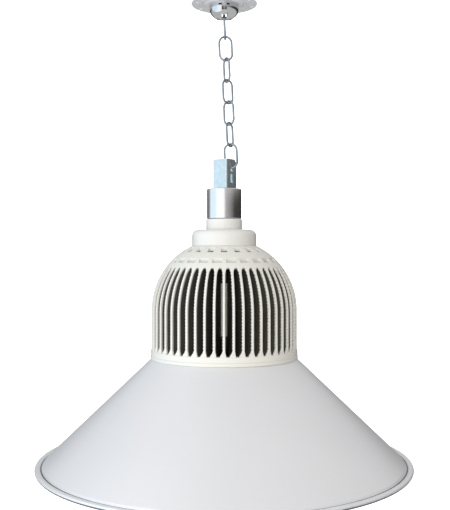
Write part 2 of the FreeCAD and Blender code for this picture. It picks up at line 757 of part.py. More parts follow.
def heatsink():
    """One casting: driver chamber, base, ring, slotted crown and radial fins."""
    body = new_body("heatsink")
    lip_r = "(crown_centre_r + sqrt(crown_r^2 - (crown_lip - crown_centre)^2))"
    lip_inner_r = "(crown_centre_r + (%s - crown_centre_r) * crown_inner_r / crown_r)" % lip_r
    lip_inner = "(crown_centre + (crown_lip - crown_centre) * crown_inner_r / crown_r)"
    under_r = "(core_r + crown_root)"
    under = f"(crown_centre + sqrt(crown_inner_r^2 - ({under_r} - crown_centre_r)^2))"
    revolve(body, outline(body, [
        ("chamber_r", "cap_low"),
        ("crown_top_r", "cap_low"),
        (lip_r, "crown_lip", "-crown_r"),
        (lip_inner_r, lip_inner),
        (under_r, under, "crown_inner_r"),
        ("core_r", f"{under} - crown_root_drop"),
        ("core_r", "base_top"),
        ("ring_inner_r", "base_top"),
        ("ring_inner_r", "base_low + ring_height"),
        ("ring_r", "base_low + ring_height"),
        ("ring_r", "base_low"),
        ("rim_r", "base_low"),
        ("rim_r", "rim_low"),
        ("rim_r - rim_wall", "rim_low"),
        ("rim_r - rim_wall", "base_low"),
        ("wire_hole_r", "base_low"),
        ("wire_hole_r", "base_top"),
        ("chamber_r", "base_top"),
    ]))
    crown_slots(body, "upper_slot", "upper_slots", "0")
    crown_slots(body, "lower_slot", "lower_slots", "180 / lower_slots")
    drill(body, "cap_screw_circle_r", "small_screw_r", "cap_low", "cap_screw_grip",
          "cap_screw_count", "45")
    for circle_r, radius, count in (
            ("bezel_screw_circle_r", "screw_r", "bezel_screw_count"),
            ("board_screw_circle_r", "small_screw_r", "board_screw_count")):
        hole = circles(body, [(circle_r, "0", radius)], height="base_low", turn="45")
        repeat(body, [pocket(body, hole, "screw_grip", upward=True)], count)
    inside = "(crown_r - crown_wall / 2)"
    root_r = f"({lip_r} - fin_root_in)"
    root = f"(crown_centre + sqrt({inside}^2 - ({root_r} - crown_centre_r)^2))"
    start_r = f"({lip_r} + fin_step)"
    start = f"(crown_centre + sqrt(crown_r^2 - ({start_r} - crown_centre_r)^2))"
    fin = outline(body, [
        ("core_r - fin_overlap", "crown_lip + fin_root_rise"),
        ("core_r - fin_overlap", "base_top - fin_overlap"),
        ("sink_r", "base_top - fin_overlap"),
        ("sink_r", "crown_centre"),
        (start_r, start, "crown_r"),
        (root_r, root),
    ])
    repeat(body, [pad(body, fin, "fin_wall", midplane=True)], "fin_count")
    body.Placement = Placement(Vector(0, 0, 0), Rotation(Vector(0, 0, 1), -90))


def crown_slots(body, name, count, turn):
    """A ring of air slots through the crown."""
    near = f"({name}_r - {name}_length / 2)"
    far = f"({name}_r + {name}_length / 2)"
    side = f"({name}_width / 2)"
    sketch = outline(body, [
        (near, f"-{side}"),
        (far, f"-{side}"),
        (far, side),
        (near, side),
    ], "XY_Plane", "cap_low", turn)
    repeat(body, [pocket(body, sketch, "crown_drop")], count)


# ---------------------------------------------------------------- driver


def driver_sleeve():
    """Insulating tube that lines the driver chamber."""
    outer = "(chamber_r - sleeve_fit)"
    turned("driver_sleeve", [
        (outer, "cap_low - sleeve_drop"),
        (outer, "base_top"),
        (f"{outer} - sleeve_wall", "base_top"),
        (f"{outer} - sleeve_wall", "cap_low - sleeve_drop"),
    ])


def driver_board():
    """Upright circuit board of the driver."""
    body = new_body("driver_board")
    side = "driver_width / 2"
    block(body, (f"-{side}", "-driver_wall / 2"), (side, "driver_wall / 2"),
          "driver_length", height="driver_low")


def driver_transformer():
    """Ferrite transformer on the board's front."""
    body = new_body("driver_transformer")
    face = "-driver_wall / 2"
    block(body, ("-core_half", f"{face} - core_depth"), ("core_half", face), "core_height",
          height="driver_low + core_rise")
    block(body, ("-winding_half", f"{face} - winding_far"),
          ("winding_half", f"{face} - winding_near"), "winding_height",
          height="driver_low + winding_rise")


def driver_capacitors():
    """Electrolytic capacitors standing off the board's back."""
    body = new_body("driver_capacitors")
    for rise in CAN_RISES:
        can = circles(body, [("0", f"driver_low + {rise}", "can_r")], "XZ_Plane",
                      height="-driver_wall / 2")
        pad(body, can, "can_length").Reversed = True


def driver_coil():
    """Toroid choke near the board's top, on its front."""
    body = new_body("driver_coil")
    centre = "driver_low + coil_rise"
    rings = circles(body, [("0", centre, "coil_ring_r"), ("0", centre, "coil_bore_r")], "XZ_Plane",
                    height="driver_wall / 2")
    pad(body, rings, "coil_length")


def leads(name, offset, low, high):
    """Two straight insulated leads side by side."""
    body = new_body(name)
    spots = [(f"-{offset}", "0", "lead_r"), (offset, "0", "lead_r")]
    pad(body, circles(body, spots, height=low), f"({high}) - ({low})")


# ---------------------------------------------------------------- reflector


def reflector():
    """Spun aluminium cone with a bolted top flange, an outward lip and a rolled edge."""
    wall = "shade_wall"
    lip_r = "(shade_low_r + shade_lip)"
    lip_top = "(shade_low - shade_lip_fall)"
    bead_low = f"({lip_top} - 2 * bead_r)"
    body = turned("reflector", [
        ("shade_flange_r", "base_low"),
        ("shade_top_r", "base_low"),
        ("shade_low_r", "shade_low"),
        (lip_r, lip_top),
        (lip_r, bead_low, "-bead_r"),
        (f"{lip_r} - 1.6 * bead_r / 2", f"{lip_top} - 0.4 * bead_r", "-bead_r"),
        (f"shade_low_r - 0.4 * {wall}", f"shade_low - {wall}"),
        (f"shade_top_r - 0.6 * {wall}", f"base_low - {wall}"),
        ("shade_flange_r", f"base_low - {wall}"),
    ])
    drill(body, "bezel_screw_circle_r", "screw_r + hole_play", "base_low", "2 * shade_wall",
          "bezel_screw_count", "45")
    body.Placement = Placement(Vector(0, 0, 0), Rotation(Vector(0, 0, 1), -90))


# ---------------------------------------------------------------- light unit


def thermal_pad():
    """Soft pad between the light board and the casting."""
    body = turned("thermal_pad", [
        ("wire_hole_r", "base_low"),
        ("board_r", "base_low"),
        ("board_r", "base_low - pad_wall"),
        ("wire_hole_r", "base_low - pad_wall"),
    ])
    drill(body, "board_screw_circle_r", "small_screw_r + small_hole_play", "base_low",
          "2 * pad_wall", "board_screw_count", "45")


def led_board():
    """Round metal-core board under the casting."""
    top = "(base_low - pad_wall)"
    body = turned("led_board", [
        ("wire_hole_r", top),
        ("board_r", top),
        ("board_r", "board_low"),
        ("wire_hole_r", "board_low"),
    ])
    drill(body, "board_screw_circle_r", "small_screw_r + small_hole_play", top,
          "2 * board_wall", "board_screw_count", "45")


def led_chips(name, places):
    """Square light chips in sixes, from (ring number, turn) of the first of each six."""
    body = new_body(name)
    chips = []
    for ring, turn in places:
        reach = f"(chip_ring_r + {ring} * chip_ring_step)"
        chips.append(block(
            body, (f"{reach} - chip_side / 2", "-chip_side / 2"),
            (f"{reach} + chip_side / 2", "chip_side / 2"), "chip_height",
            height="board_low - chip_height", turn=str(turn)))
    repeat(body, chips, "chip_count")


def seal_ring():
    """Silicone ring between the casting's rim and the lens."""
    turned("seal_ring", [
        ("rim_r - rim_wall + seal_fit", "rim_low"),
        ("rim_r - seal_fit", "rim_low"),
        ("rim_r - seal_fit", "lens_top"),
        ("rim_r - rim_wall + seal_fit", "lens_top"),
    ])


def lens():
    """Flat clear cover under the chips."""
    turned("lens", [
        ("0", "lens_top"),
        ("rim_r", "lens_top"),
        ("rim_r", "lens_low"),
        ("0", "lens_low"),
    ])


def bezel():
    """White ring that clamps lens and reflector to the casting."""
    body = turned("bezel", [
        ("rim_r + lens_fit", "bezel_top"),
        ("bezel_r", "bezel_top"),
        ("bezel_r", "bezel_top - bezel_wall"),
        ("rim_r + bezel_neck + bezel_bevel", "bezel_top - bezel_wall"),
        ("rim_r + bezel_neck", "bezel_low"),
        ("bezel_bore_r", "bezel_low"),
        ("bezel_bore_r", "lens_low"),
        ("rim_r + lens_fit", "lens_low"),
    ])
    drill(body, "bezel_screw_circle_r", "screw_r + hole_play", "bezel_top",
          "2 * bezel_wall", "bezel_screw_count", "45")
    body.Placement = Placement(Vector(0, 0, 0), Rotation(Vector(0, 0, 1), -90))


def light_unit_screws():
    """Bezel screws and board screws, both driven up from below."""
    seat = "(bezel_top - bezel_wall)"
    body = pan_screws("bezel_screws", "bezel_screw_circle_r", "bezel_screw_count", seat,
                      "bezel_wall + shade_wall + screw_grip", head_up=False, turn="45")
    body.Placement = Placement(Vector(0, 0, 0), Rotation(Vector(0, 0, 1), -90))
    pan_screws("board_screws", "board_screw_circle_r", "board_screw_count", "board_low",
               "board_wall + pad_wall + screw_grip", small=True, head_up=False, turn="45")


# ---------------------------------------------------------------- building and writing


def build_all():
    """Model every piece in its own body."""
    fill_sheet()
    ceiling_plate()
    ceiling_dome()
    dome_pin()
    dome_rivets()
    chain_links()
    hanging_bracket()
    bracket_screws()
    holder_spacers()
    holder_shell()
    wire_entry_bush()
    holder_insulator()
    terminal_screws()
    holder_contact()
    holder_screw_shell()
    lamp_screw_cap()
    lamp_cap_insulator()
    lamp_cap_button()
    neck_collar()
    collar_screws()
    driver_cap()
    cap_screws()
    heatsink()
    driver_sleeve()
    driver_board()
    driver_transformer()
    driver_capacitors()
    driver_coil()
    leads("input_leads", "input_spread", "driver_top", "screw_cap_top - lead_reach")
    leads("output_leads", "output_spread", "board_low - lead_reach", "driver_low")
    thermal_pad()
    led_board()
    led_chips("led_chips_white", [(0, 0)])
    led_chips("led_chips_red", [(1, 0), (2, 10), (2, 30)])
    led_chips("led_chips_blue", [(1, 30), (2, 50)])
    seal_ring()
    lens()
    bezel()
    light_unit_screws()
    reflector()


def lower_lamp():
    """Move the lamp's pieces down from the origin to the end of the chain."""
    points = hang_points()[0]
    drop = Vector(0, 0, points[-1].z - value("hook_height"))
    for body, lamp_piece in PIECES:
        if lamp_piece:
            body.Placement = Placement(body.Placement.Base + drop, body.Placement.Rotation)


def check_objects():
    """Stop if any object failed or any piece has no valid shape."""
    for item in DOC.Objects:
        if "Invalid" in item.State or "Error" in item.State:
            owner = item.getParentGeoFeatureGroup()
            piece = owner.Label if owner else "the document"
            raise RuntimeError(f"{item.Label} of {piece} failed: {item.State}")
    for body, _ in PIECES:
        if body.Shape.isNull() or not body.Shape.isValid():
            raise RuntimeError(f"{body.Label} has no valid shape")


def write_pieces():
    os.makedirs("parts", exist_ok=True)
    for body, _ in PIECES:
        body.Shape.exportStep(f"parts/{body.Label}.step")


def main():
    """Build, check and write the lamp, and print the points that its joints turn about."""
    build_all()
    lower_lamp()
    DOC.recompute()
    check_objects()
    write_pieces()
    for place in hang_points()[0]:
        print("hang point", [round(part, 3) for part in place])


main()
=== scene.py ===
import json
import logging
import math
from dataclasses import dataclass, field
from enum import Enum
from typing import Callable, Sequence

import bmesh
import bpy
from mathutils import Matrix, Vector


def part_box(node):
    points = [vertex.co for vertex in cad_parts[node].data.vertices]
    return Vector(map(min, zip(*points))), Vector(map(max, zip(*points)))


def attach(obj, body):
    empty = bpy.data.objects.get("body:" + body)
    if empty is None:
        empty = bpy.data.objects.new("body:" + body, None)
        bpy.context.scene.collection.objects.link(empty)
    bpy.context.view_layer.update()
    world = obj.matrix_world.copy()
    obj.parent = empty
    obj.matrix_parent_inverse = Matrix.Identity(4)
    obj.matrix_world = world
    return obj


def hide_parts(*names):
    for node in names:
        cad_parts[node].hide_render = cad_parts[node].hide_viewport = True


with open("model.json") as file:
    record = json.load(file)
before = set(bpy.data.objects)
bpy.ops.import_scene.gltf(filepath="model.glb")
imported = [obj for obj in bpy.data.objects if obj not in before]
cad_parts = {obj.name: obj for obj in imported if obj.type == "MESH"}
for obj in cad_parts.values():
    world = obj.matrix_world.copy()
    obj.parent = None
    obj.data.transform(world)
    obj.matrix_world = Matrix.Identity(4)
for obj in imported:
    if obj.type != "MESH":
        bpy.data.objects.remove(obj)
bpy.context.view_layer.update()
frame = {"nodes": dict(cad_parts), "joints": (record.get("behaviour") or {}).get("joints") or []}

log = logging.getLogger("grow_lamp")

MM = 0.001
CRISP_ANGLE = 35.0
GRAIN_SHARE = 0.35
Point = tuple[float, float]


# ------------------------------------------------------------------ finishes


class Grain(Enum):
    """How the surface of a finish was made, which sets its pattern."""

    CAST = "cast"
    POWDER = "powder coat"
    SPUN = "spun on a lathe"
    ROLLED = "rolled strip"
    SPANGLE = "zinc spangle"
    MOULDED = "moulded"
    CLEAR = "clear"


def linear_colour(code: str) -> tuple[float, float, float, float]:
    """Turn an sRGB hex colour into the linear values that shaders read.

    Args:
        code: Six hex digits.

    Returns:
        Linear red, green, blue and an alpha of one.
    """
    parts = [int(code[at:at + 2], 16) / 255 for at in (0, 2, 4)]
    red, green, blue = (
        part / 12.92 if part <= 0.04045 else ((part + 0.055) / 1.055) ** 2.4 for part in parts
    )
    return red, green, blue, 1.0


def add_node(tree: bpy.types.NodeTree, kind: str, settings: dict | None = None,
             **links: object) -> bpy.types.Node:
    """Add a node, set its properties and fill its inputs.

    Args:
        tree: The node tree that gets the node.
        kind: The node's type name.
        settings: Properties of the node itself.
        **links: Input names with spaces as underscores, or in0, in1 for an input's
            number, each with a value or with the output socket that feeds it.

    Returns:
        The new node.
    """
    node = tree.nodes.new(kind)
    for name, setting in (settings or {}).items():
        setattr(node, name, setting)
    for name, source in links.items():
        number = name[2:]
        is_number = name.startswith("in") and number.isdigit()
        socket = node.inputs[int(number) if is_number else name.replace("_", " ")]
        if isinstance(source, bpy.types.NodeSocket):
            tree.links.new(source, socket)
        else:
            socket.default_value = source
    return node


def maths(tree: bpy.types.NodeTree, operation: str, *sources: object,
          clamp: bool = False) -> bpy.types.NodeSocket:
    """The result of a new maths node.

    Args:
        tree: The node tree that gets the node.
        operation: What it does.
        *sources: Its inputs in order, each a value or an output socket.
        clamp: Whether the result is kept from 0 to 1.

    Returns:
        Its output socket.
    """
    links = {f"in{number}": source for number, source in enumerate(sources)}
    node = add_node(tree, "ShaderNodeMath", {"operation": operation, "use_clamp": clamp},
                    **links)
    return node.outputs["Value"]


def blended(tree: bpy.types.NodeTree, factor: bpy.types.NodeSocket, first: object,
            second: object) -> bpy.types.NodeSocket:
    """The colour between two colours, each a value or an output socket, at a factor."""
    node = add_node(tree, "ShaderNodeMix", {"data_type": "RGBA"}, in0=factor, in6=first,
                    in7=second)
    return node.outputs[2]


@dataclass(frozen=True)
class Finish:
    """A surface: what it is made of, its colours and the marks of its making; a few also carry
    painted shade or a painted highlight.

    The grain size is in millimetres across one feature; its depth is in millimetres too.
    """

    name: str
    colour: str
    shade: str
    grain: Grain
    grain_mm: float
    depth_mm: float
    metallic: float = 0.0
    roughness: float = 0.4
    spread: float = 0.08
    cloud_mm: float = 40.0
    coat: float = 0.0
    clear: float = 0.0
    glow: float = 0.0

    def pattern_place(self, tree: bpy.types.NodeTree) -> bpy.types.NodeSocket:
        """Where the grain pattern is read: plain, drawn out along z, or round the axis."""
        place = add_node(tree, "ShaderNodeTexCoord").outputs["Object"]
        if self.grain is Grain.ROLLED:
            stretch = add_node(tree, "ShaderNodeMapping", Vector=place, Scale=(1.0, 1.0, 0.06))
            return stretch.outputs["Vector"]
        if self.grain is Grain.SPUN:
            flat = add_node(tree, "ShaderNodeVectorMath", {"operation": "MULTIPLY"},
                            in0=place, in1=(1.0, 1.0, 0.0))
            length = add_node(tree, "ShaderNodeVectorMath", {"operation": "LENGTH"},
                              in0=flat.outputs["Vector"])
            parts = add_node(tree, "ShaderNodeSeparateXYZ", Vector=place)
            turned = add_node(tree, "ShaderNodeCombineXYZ", X=length.outputs["Value"],
                              Y=parts.outputs["Z"])
            return turned.outputs["Vector"]
        return place

    def grain_value(self, tree: bpy.types.NodeTree) -> bpy.types.NodeSocket:
        """The fine pattern, from 0 to 1."""
        scale = 1 / (self.grain_mm * MM)
        place = self.pattern_place(tree)
        if self.grain is Grain.SPANGLE:
            cells = add_node(tree, "ShaderNodeTexVoronoi", Vector=place, Scale=scale)
            return cells.outputs["Color"]
        noise = add_node(tree, "ShaderNodeTexNoise", Vector=place, Scale=scale, Detail=3.0,
                         Roughness=0.55)
        return noise.outputs["Fac"]

    def material(self) -> bpy.types.Material:
        """The finish as a node material, made once.

        Returns:
            The material of this finish's name.
        """
        if self.name in bpy.data.materials:
            return bpy.data.materials[self.name]
        made = bpy.data.materials.new(self.name)
        made.use_nodes = True
        tree = made.node_tree
        shader = tree.nodes["Principled BSDF"]
        place = add_node(tree, "ShaderNodeTexCoord").outputs["Object"]
        cloud = add_node(tree, "ShaderNodeTexNoise", Vector=place,
                         Scale=1 / (self.cloud_mm * MM), Detail=4.0)
        grain = self.grain_value(tree)
        fine = maths(tree, "MULTIPLY_ADD", grain, GRAIN_SHARE, -GRAIN_SHARE / 2)
        blend = maths(tree, "ADD", cloud.outputs["Fac"], fine, clamp=True)
        tint = blended(tree, blend, linear_colour(self.colour), linear_colour(self.shade))
        tree.links.new(tint, shader.inputs["Base Color"])
        dull = add_node(tree, "ShaderNodeMapRange", Value=blend,
                        To_Min=max(self.roughness - self.spread, 0.02),
                        To_Max=min(self.roughness + self.spread, 1.0))
        tree.links.new(dull.outputs["Result"], shader.inputs["Roughness"])
        bump = add_node(tree, "ShaderNodeBump", Strength=1.0, Distance=self.depth_mm * MM,
                        Height=grain)
        tree.links.new(bump.outputs["Normal"], shader.inputs["Normal"])
        shader.inputs["Metallic"].default_value = self.metallic
        shader.inputs["Coat Weight"].default_value = self.coat
        shader.inputs["Transmission Weight"].default_value = self.clear
        if self.glow:
            shader.inputs["Emission Color"].default_value = linear_colour(self.colour)
            shader.inputs["Emission Strength"].default_value = self.glow
        return made


# Off-white polyester powder coat on die-cast aluminium: soft sheen, fine orange peel.
POWDER_COAT = Finish("warm_white_powder_coat", "E8E7DF", "DFDED5", Grain.POWDER, 0.9, 0.02,
                     roughness=0.42, spread=0.06, coat=0.15)
# Moulded white thermoplastic: slightly glossier and cleaner than the coat beside it.
WHITE_PLASTIC = Finish("moulded_white_polycarbonate", "E6E5E0", "DEDDD6", Grain.MOULDED, 0.6,
                       0.008, roughness=0.34, spread=0.05, coat=0.2)
# Spun aluminium with a fine satin silver lacquer: soft broad sheen, faint lathe lines.
SPUN_SILVER = Finish("spun_satin_aluminium", "F4F5F6", "EDEEEF", Grain.SPUN, 1.1, 0.004,
                     metallic=0.5, roughness=0.42, spread=0.04, cloud_mm=90.0)
# Dull grey at the rolled edge: painted shade in the groove and on the underside of the bead.
RIM_PAINTED_SHADE = Finish("rolled_raw_aluminium", "84888C", "6C7074", Grain.SPUN, 0.7, 0.006,
                     metallic=0.7, roughness=0.5)
# Pale warm grey, satin: a painted highlight on the core where light reaches it through the
# middle gaps.
CORE_PAINTED_HIGHLIGHT = Finish("machined_cast_aluminium", "F2F2E8", "E4E4D8", Grain.SPUN, 1.0, 0.01,
                      metallic=0.2, roughness=0.45)
# Uncoated die-cast aluminium deep between the fins: dull brownish grey, darkened further as
# painted shade where light does not reach.
CAST_GREY_WITH_PAINTED_SHADE = Finish("oxidised_cast_aluminium", "69655B", "504D45", Grain.CAST, 1.4, 0.04,
                      metallic=0.25, roughness=0.55)
# Electro-galvanised wire: bluish grey, half bright, fine drawn marks.
ZINC_WIRE = Finish("zinc_plated_wire", "AEB6BA", "7E878C", Grain.CAST, 0.8, 0.02,
                   metallic=1.0, roughness=0.27, spread=0.1, cloud_mm=9.0)
# Hot-dip galvanised strip: pale bluish metal with faint crystals and rolling lines.
ZINC_STRIP = Finish("galvanised_strip", "DDE5E5", "BAC6C7", Grain.SPANGLE, 2.6, 0.004,
                    metallic=0.9, roughness=0.3, spread=0.1, cloud_mm=12.0)
# Pressed galvanised plate, a little brighter than the strip.
ZINC_PLATE = Finish("galvanised_pressing", "EEF0F0", "DADDDD", Grain.SPANGLE, 2.2, 0.004,
                    metallic=0.5, roughness=0.38, spread=0.08, cloud_mm=14.0)
# Bright chromium plate on brass: near mirror, faint polishing haze.
CHROME = Finish("bright_chrome_plate", "D9DADA", "C9CACB", Grain.SPUN, 0.5, 0.001,
                metallic=1.0, roughness=0.07, spread=0.03)
# Turned and polished aluminium tube: near mirror with fine rings.
POLISHED_TUBE = Finish("polished_aluminium_tube", "E8E8E7", "DAD9D7", Grain.SPUN, 0.5, 0.002,
                       metallic=1.0, roughness=0.2, spread=0.05)
# Zinc-plated machine screws.
SCREW_STEEL = Finish("zinc_plated_screw_steel", "B4B8BA", "8F9497", Grain.CAST, 0.5, 0.008,
                     metallic=1.0, roughness=0.28, spread=0.08, cloud_mm=4.0)
# Bright brass contacts.
BRASS = Finish("bright_brass", "D8B45C", "B98F3C", Grain.SPUN, 0.6, 0.003, metallic=1.0,
               roughness=0.24, cloud_mm=8.0)
# Nickel-plated screw cap.
NICKEL = Finish("nickel_plated_brass", "C9C6BE", "ADA99F", Grain.SPUN, 0.6, 0.003,
                metallic=1.0, roughness=0.2, cloud_mm=8.0)
# Glazed porcelain.
PORCELAIN = Finish("glazed_porcelain", "EFEADD", "E4DCCB", Grain.MOULDED, 2.0, 0.01,
                   roughness=0.14, coat=0.6)
# Black glass of the screw cap's cone.
BLACK_GLASS = Finish("black_cap_glass", "141416", "1C1C20", Grain.MOULDED, 2.0, 0.004,
                     roughness=0.08, coat=0.5)
# Soft black rubber bush.
RUBBER = Finish("black_rubber", "1B1B1C", "26262A", Grain.MOULDED, 0.5, 0.02, roughness=0.7)
# Grey fibreboard liner of the driver.
LINER = Finish("grey_fibre_liner", "7C7F82", "6B6E72", Grain.ROLLED, 0.8, 0.02, roughness=0.75)
# Green solder mask over copper.
GREEN_BOARD = Finish("green_solder_mask", "1F5B34", "184A2A", Grain.MOULDED, 1.2, 0.01,
                     roughness=0.35, coat=0.3)
# White solder mask of the light board.
WHITE_BOARD = Finish("white_solder_mask", "F1F2F1", "E6E8E8", Grain.MOULDED, 1.2, 0.006,
                     roughness=0.4, coat=0.2)
# Sintered ferrite and wound tape.
FERRITE = Finish("sintered_ferrite", "2B2B2E", "38383B", Grain.CAST, 0.9, 0.03, roughness=0.6)
# Capacitor shrink sleeve.
SLEEVE = Finish("capacitor_shrink_sleeve", "1A2036", "232A44", Grain.MOULDED, 1.0, 0.01,
                roughness=0.3, coat=0.3)
# Red silicone wire insulation.
LEAD = Finish("red_silicone_insulation", "A3251C", "8C1F18", Grain.MOULDED, 0.6, 0.01,
              roughness=0.5)
# Soft heat-conducting pad.
HEAT_PAD = Finish("heat_conducting_pad", "8893A0", "7B8692", Grain.MOULDED, 0.7, 0.02,
                  roughness=0.8)
# Translucent silicone seal.
SILICONE = Finish("translucent_silicone", "D9DCDC", "CBD0D0", Grain.MOULDED, 1.0, 0.01,
                  roughness=0.45, clear=0.2)
# Tempered flat glass.
LENS_GLASS = Finish("tempered_clear_glass", "FAFDFC", "F4FAF8", Grain.CLEAR, 30.0, 0.001,
                    roughness=0.03, spread=0.01, clear=1.0)
# Light chips under clear silicone domes: phosphor, red and royal blue dies.
CHIP_WHITE = Finish("phosphor_chip", "F3E08A", "EBD46E", Grain.MOULDED, 0.8, 0.01,
                    roughness=0.25, coat=0.8)
CHIP_RED = Finish("red_chip", "C8242B", "AE1D24", Grain.MOULDED, 0.8, 0.01, roughness=0.25,
                  coat=0.8)
CHIP_BLUE = Finish("blue_chip", "2C49C9", "243DAE", Grain.MOULDED, 0.8, 0.01, roughness=0.25,
                   coat=0.8)
# Studio surfaces.
PALE_FLOOR = Finish("pale_studio_floor", "FFFFFF", "FDFDFD", Grain.MOULDED, 40.0, 0.01,
                    roughness=0.9, spread=0.02, cloud_mm=900.0, glow=0.9)


# ------------------------------------------------------------------ shared mesh making


def place_mesh(name: str, mesh: bmesh.types.BMesh, finish: Finish,
               smooth_angle: float = CRISP_ANGLE) -> bpy.types.Object:
    """Turn a bmesh in millimetres into an object in metres.

    Args:
        name: The object's name.
        mesh: The shape; it is freed.
        finish: Its surface.
        smooth_angle: Edges sharper than this many degrees stay crisp.

    Returns:
        The linked object, at the origin.
    """
    bmesh.ops.scale(mesh, vec=(MM, MM, MM), verts=mesh.verts)
    data = bpy.data.meshes.new(name)
    mesh.to_mesh(data)
    mesh.free()
    data.materials.append(finish.material())
    made = bpy.data.objects.new(name, data)
    bpy.context.scene.collection.objects.link(made)
    return smoothed(made, smooth_angle)


def rounded(corners: Sequence[tuple[float, ...]], closed: bool = True,
            steps: int = 5) -> list[Point]:
    """Round the corners of an outline.

    Args:
        corners: (radius, height) corners in order, with a third value where the corner
            is rounded.
        closed: Whether the last corner joins the first.
        steps: Straight pieces in each rounded corner.

    Returns:
        The outline's points.
    """
    count = len(corners)
    points: list[Point] = []
    for number, corner in enumerate(corners):
        here = Vector(corner[:2])
        ends = not closed and number in (0, count - 1)
        if len(corner) < 3 or corner[2] == 0 or ends:
            points.append((here.x, here.y))
            continue
        before = (Vector(corners[number - 1][:2]) - here)
        after = (Vector(corners[(number + 1) % count][:2]) - here)
        half = before.angle(after) / 2
        reach = min(corner[2] / math.tan(half), before.length * 0.49, after.length * 0.49)
        start = here + before.normalized() * reach
        finish = here + after.normalized() * reach
        for step in range(steps + 1):
            part = step / steps
            spot = (start * (1 - part) ** 2 + here * (2 * part * (1 - part))
                    + finish * part ** 2)
            points.append((spot.x, spot.y))
    return points


def arc(centre: Point, radius: float, start: float, finish: float,
        steps: int) -> list[Point]:
    """Points along an arc, both ends included.

    Args:
        centre: The arc's centre, in millimetres.
        radius: Its radius.
        start: Where it starts, in degrees from the radial direction.
        finish: Where it ends.
        steps: Straight pieces in it.

    Returns:
        The points in order.
    """
    points = []
    for step in range(steps + 1):
        angle = math.radians(start + (finish - start) * step / steps)
        points.append((centre[0] + radius * math.cos(angle),
                       centre[1] + radius * math.sin(angle)))
    return points


def lathe(points: Sequence[Point], columns: int = 128) -> bmesh.types.BMesh:
    """Turn a closed outline round the Z axis.

    Args:
        points: The outline, in millimetres; a point at radius zero lies on the axis.
        columns: Faces round the axis.

    Returns:
        A closed shape with outward faces.
    """
    mesh = bmesh.new()
    rings = []
    for radius, height in points:
        if radius < 1e-6:
            rings.append([mesh.verts.new((0, 0, height))] * columns)
            continue
        ring = []
        for column in range(columns):
            angle = 2 * math.pi * column / columns
            ring.append(mesh.verts.new((radius * math.cos(angle),
                                        radius * math.sin(angle), height)))
        rings.append(ring)
    for number, ring in enumerate(rings):
        following = rings[(number + 1) % len(rings)]
        for column in range(columns):
            after = (column + 1) % columns
            corners = [ring[column], ring[after], following[after], following[column]]
            distinct = list(dict.fromkeys(corners))
            if len(distinct) > 2:
                mesh.faces.new(distinct)
    bmesh.ops.recalc_face_normals(mesh, faces=mesh.faces)
    return mesh


def extruded(points: Sequence[Point], low: float, high: float) -> bmesh.types.BMesh:
    """A prism over an outline in the XY plane.

    Args:
        points: The outline, in millimetres.
        low: Height of its underside.
        high: Height of its top.

    Returns:
        A closed shape with outward faces.
    """
    mesh = bmesh.new()
    floor = [mesh.verts.new((x, y, low)) for x, y in points]
    roof = [mesh.verts.new((x, y, high)) for x, y in points]
    mesh.faces.new(floor[::-1])
    mesh.faces.new(roof)
    for number in range(len(points)):
        after = (number + 1) % len(points)
        mesh.faces.new((floor[number], floor[after], roof[after], roof[number]))
    bmesh.ops.recalc_face_normals(mesh, faces=mesh.faces)
    return mesh


def plain_mesh(thing: bpy.types.Object) -> bpy.types.Object:
    """Apply every modifier of an object by taking its evaluated mesh.

    Args:
        thing: The object.

    Returns:
        The same object, with no modifier left.
    """
    view = bpy.context.evaluated_depsgraph_get()
    data = bpy.data.meshes.new_from_object(thing.evaluated_get(view))
    thing.modifiers.clear()
    thing.data = data
    return thing


def smoothed(thing: bpy.types.Object, angle: float = CRISP_ANGLE) -> bpy.types.Object:
    """Shade an object smooth, apart from edges sharper than an angle in degrees."""
    thing.data.shade_smooth()
    thing.data.set_sharp_from_angle(angle=math.radians(angle))
    return thing


def merged(shapes: Sequence[bpy.types.Object]) -> bmesh.types.BMesh:
    """Join finished objects into one shape and delete them.

    Args:
        shapes: The objects, in metres.

    Returns:
        Their faces, in millimetres.
    """
    mesh = bmesh.new()
    for shape in shapes:
        mesh.from_mesh(shape.data)
        bpy.data.objects.remove(shape)
    bmesh.ops.scale(mesh, vec=(1 / MM, 1 / MM, 1 / MM), verts=mesh.verts)
    return mesh


def pin(radius: float, low: float, high: float, finish: Finish,
        columns: int = 24) -> bpy.types.Object:
    """A plain round pin on the Z axis, as a post or to cut a hole with.

    Args:
        radius: Its radius, in millimetres.
        low: Height of its foot.
        high: Height of its top.
        finish: Its surface.
        columns: Faces round it.

    Returns:
        The pin.
    """
    line = [(0, low), (radius, low), (radius, high), (0, high)]
    return place_mesh("pin", lathe(line, columns), finish)


def turned(name: str, corners: Sequence[tuple[float, ...]], finish: Finish,
           columns: int = 160, steps: int = 5) -> bpy.types.Object:
    """Turn a closed outline with rounded corners round the Z axis.

    Args:
        name: The object's name.
        corners: (radius, height) corners, with a third value where one is rounded.
        finish: Its surface.
        columns: Faces round the axis.
        steps: Straight pieces in each rounded corner.

    Returns:
        The object.
    """
    return place_mesh(name, lathe(rounded(corners, steps=steps), columns), finish)


def bevelled(thing: bpy.types.Object, width: float, segments: int = 2,
             angle: float = 40.0) -> bpy.types.Object:
    """Round an object's sharp edges.

    Args:
        thing: The object.
        width: The bevel's width, in millimetres.
        segments: Faces across the bevel.
        angle: Edges flatter than this many degrees are left.

    Returns:
        The same object.
    """
    bevel = thing.modifiers.new("Edges", "BEVEL")
    bevel.width = width * MM
    bevel.segments = segments
    bevel.limit_method = "ANGLE"
    bevel.angle_limit = math.radians(angle)
    bevel.harden_normals = False
    return smoothed(plain_mesh(thing))


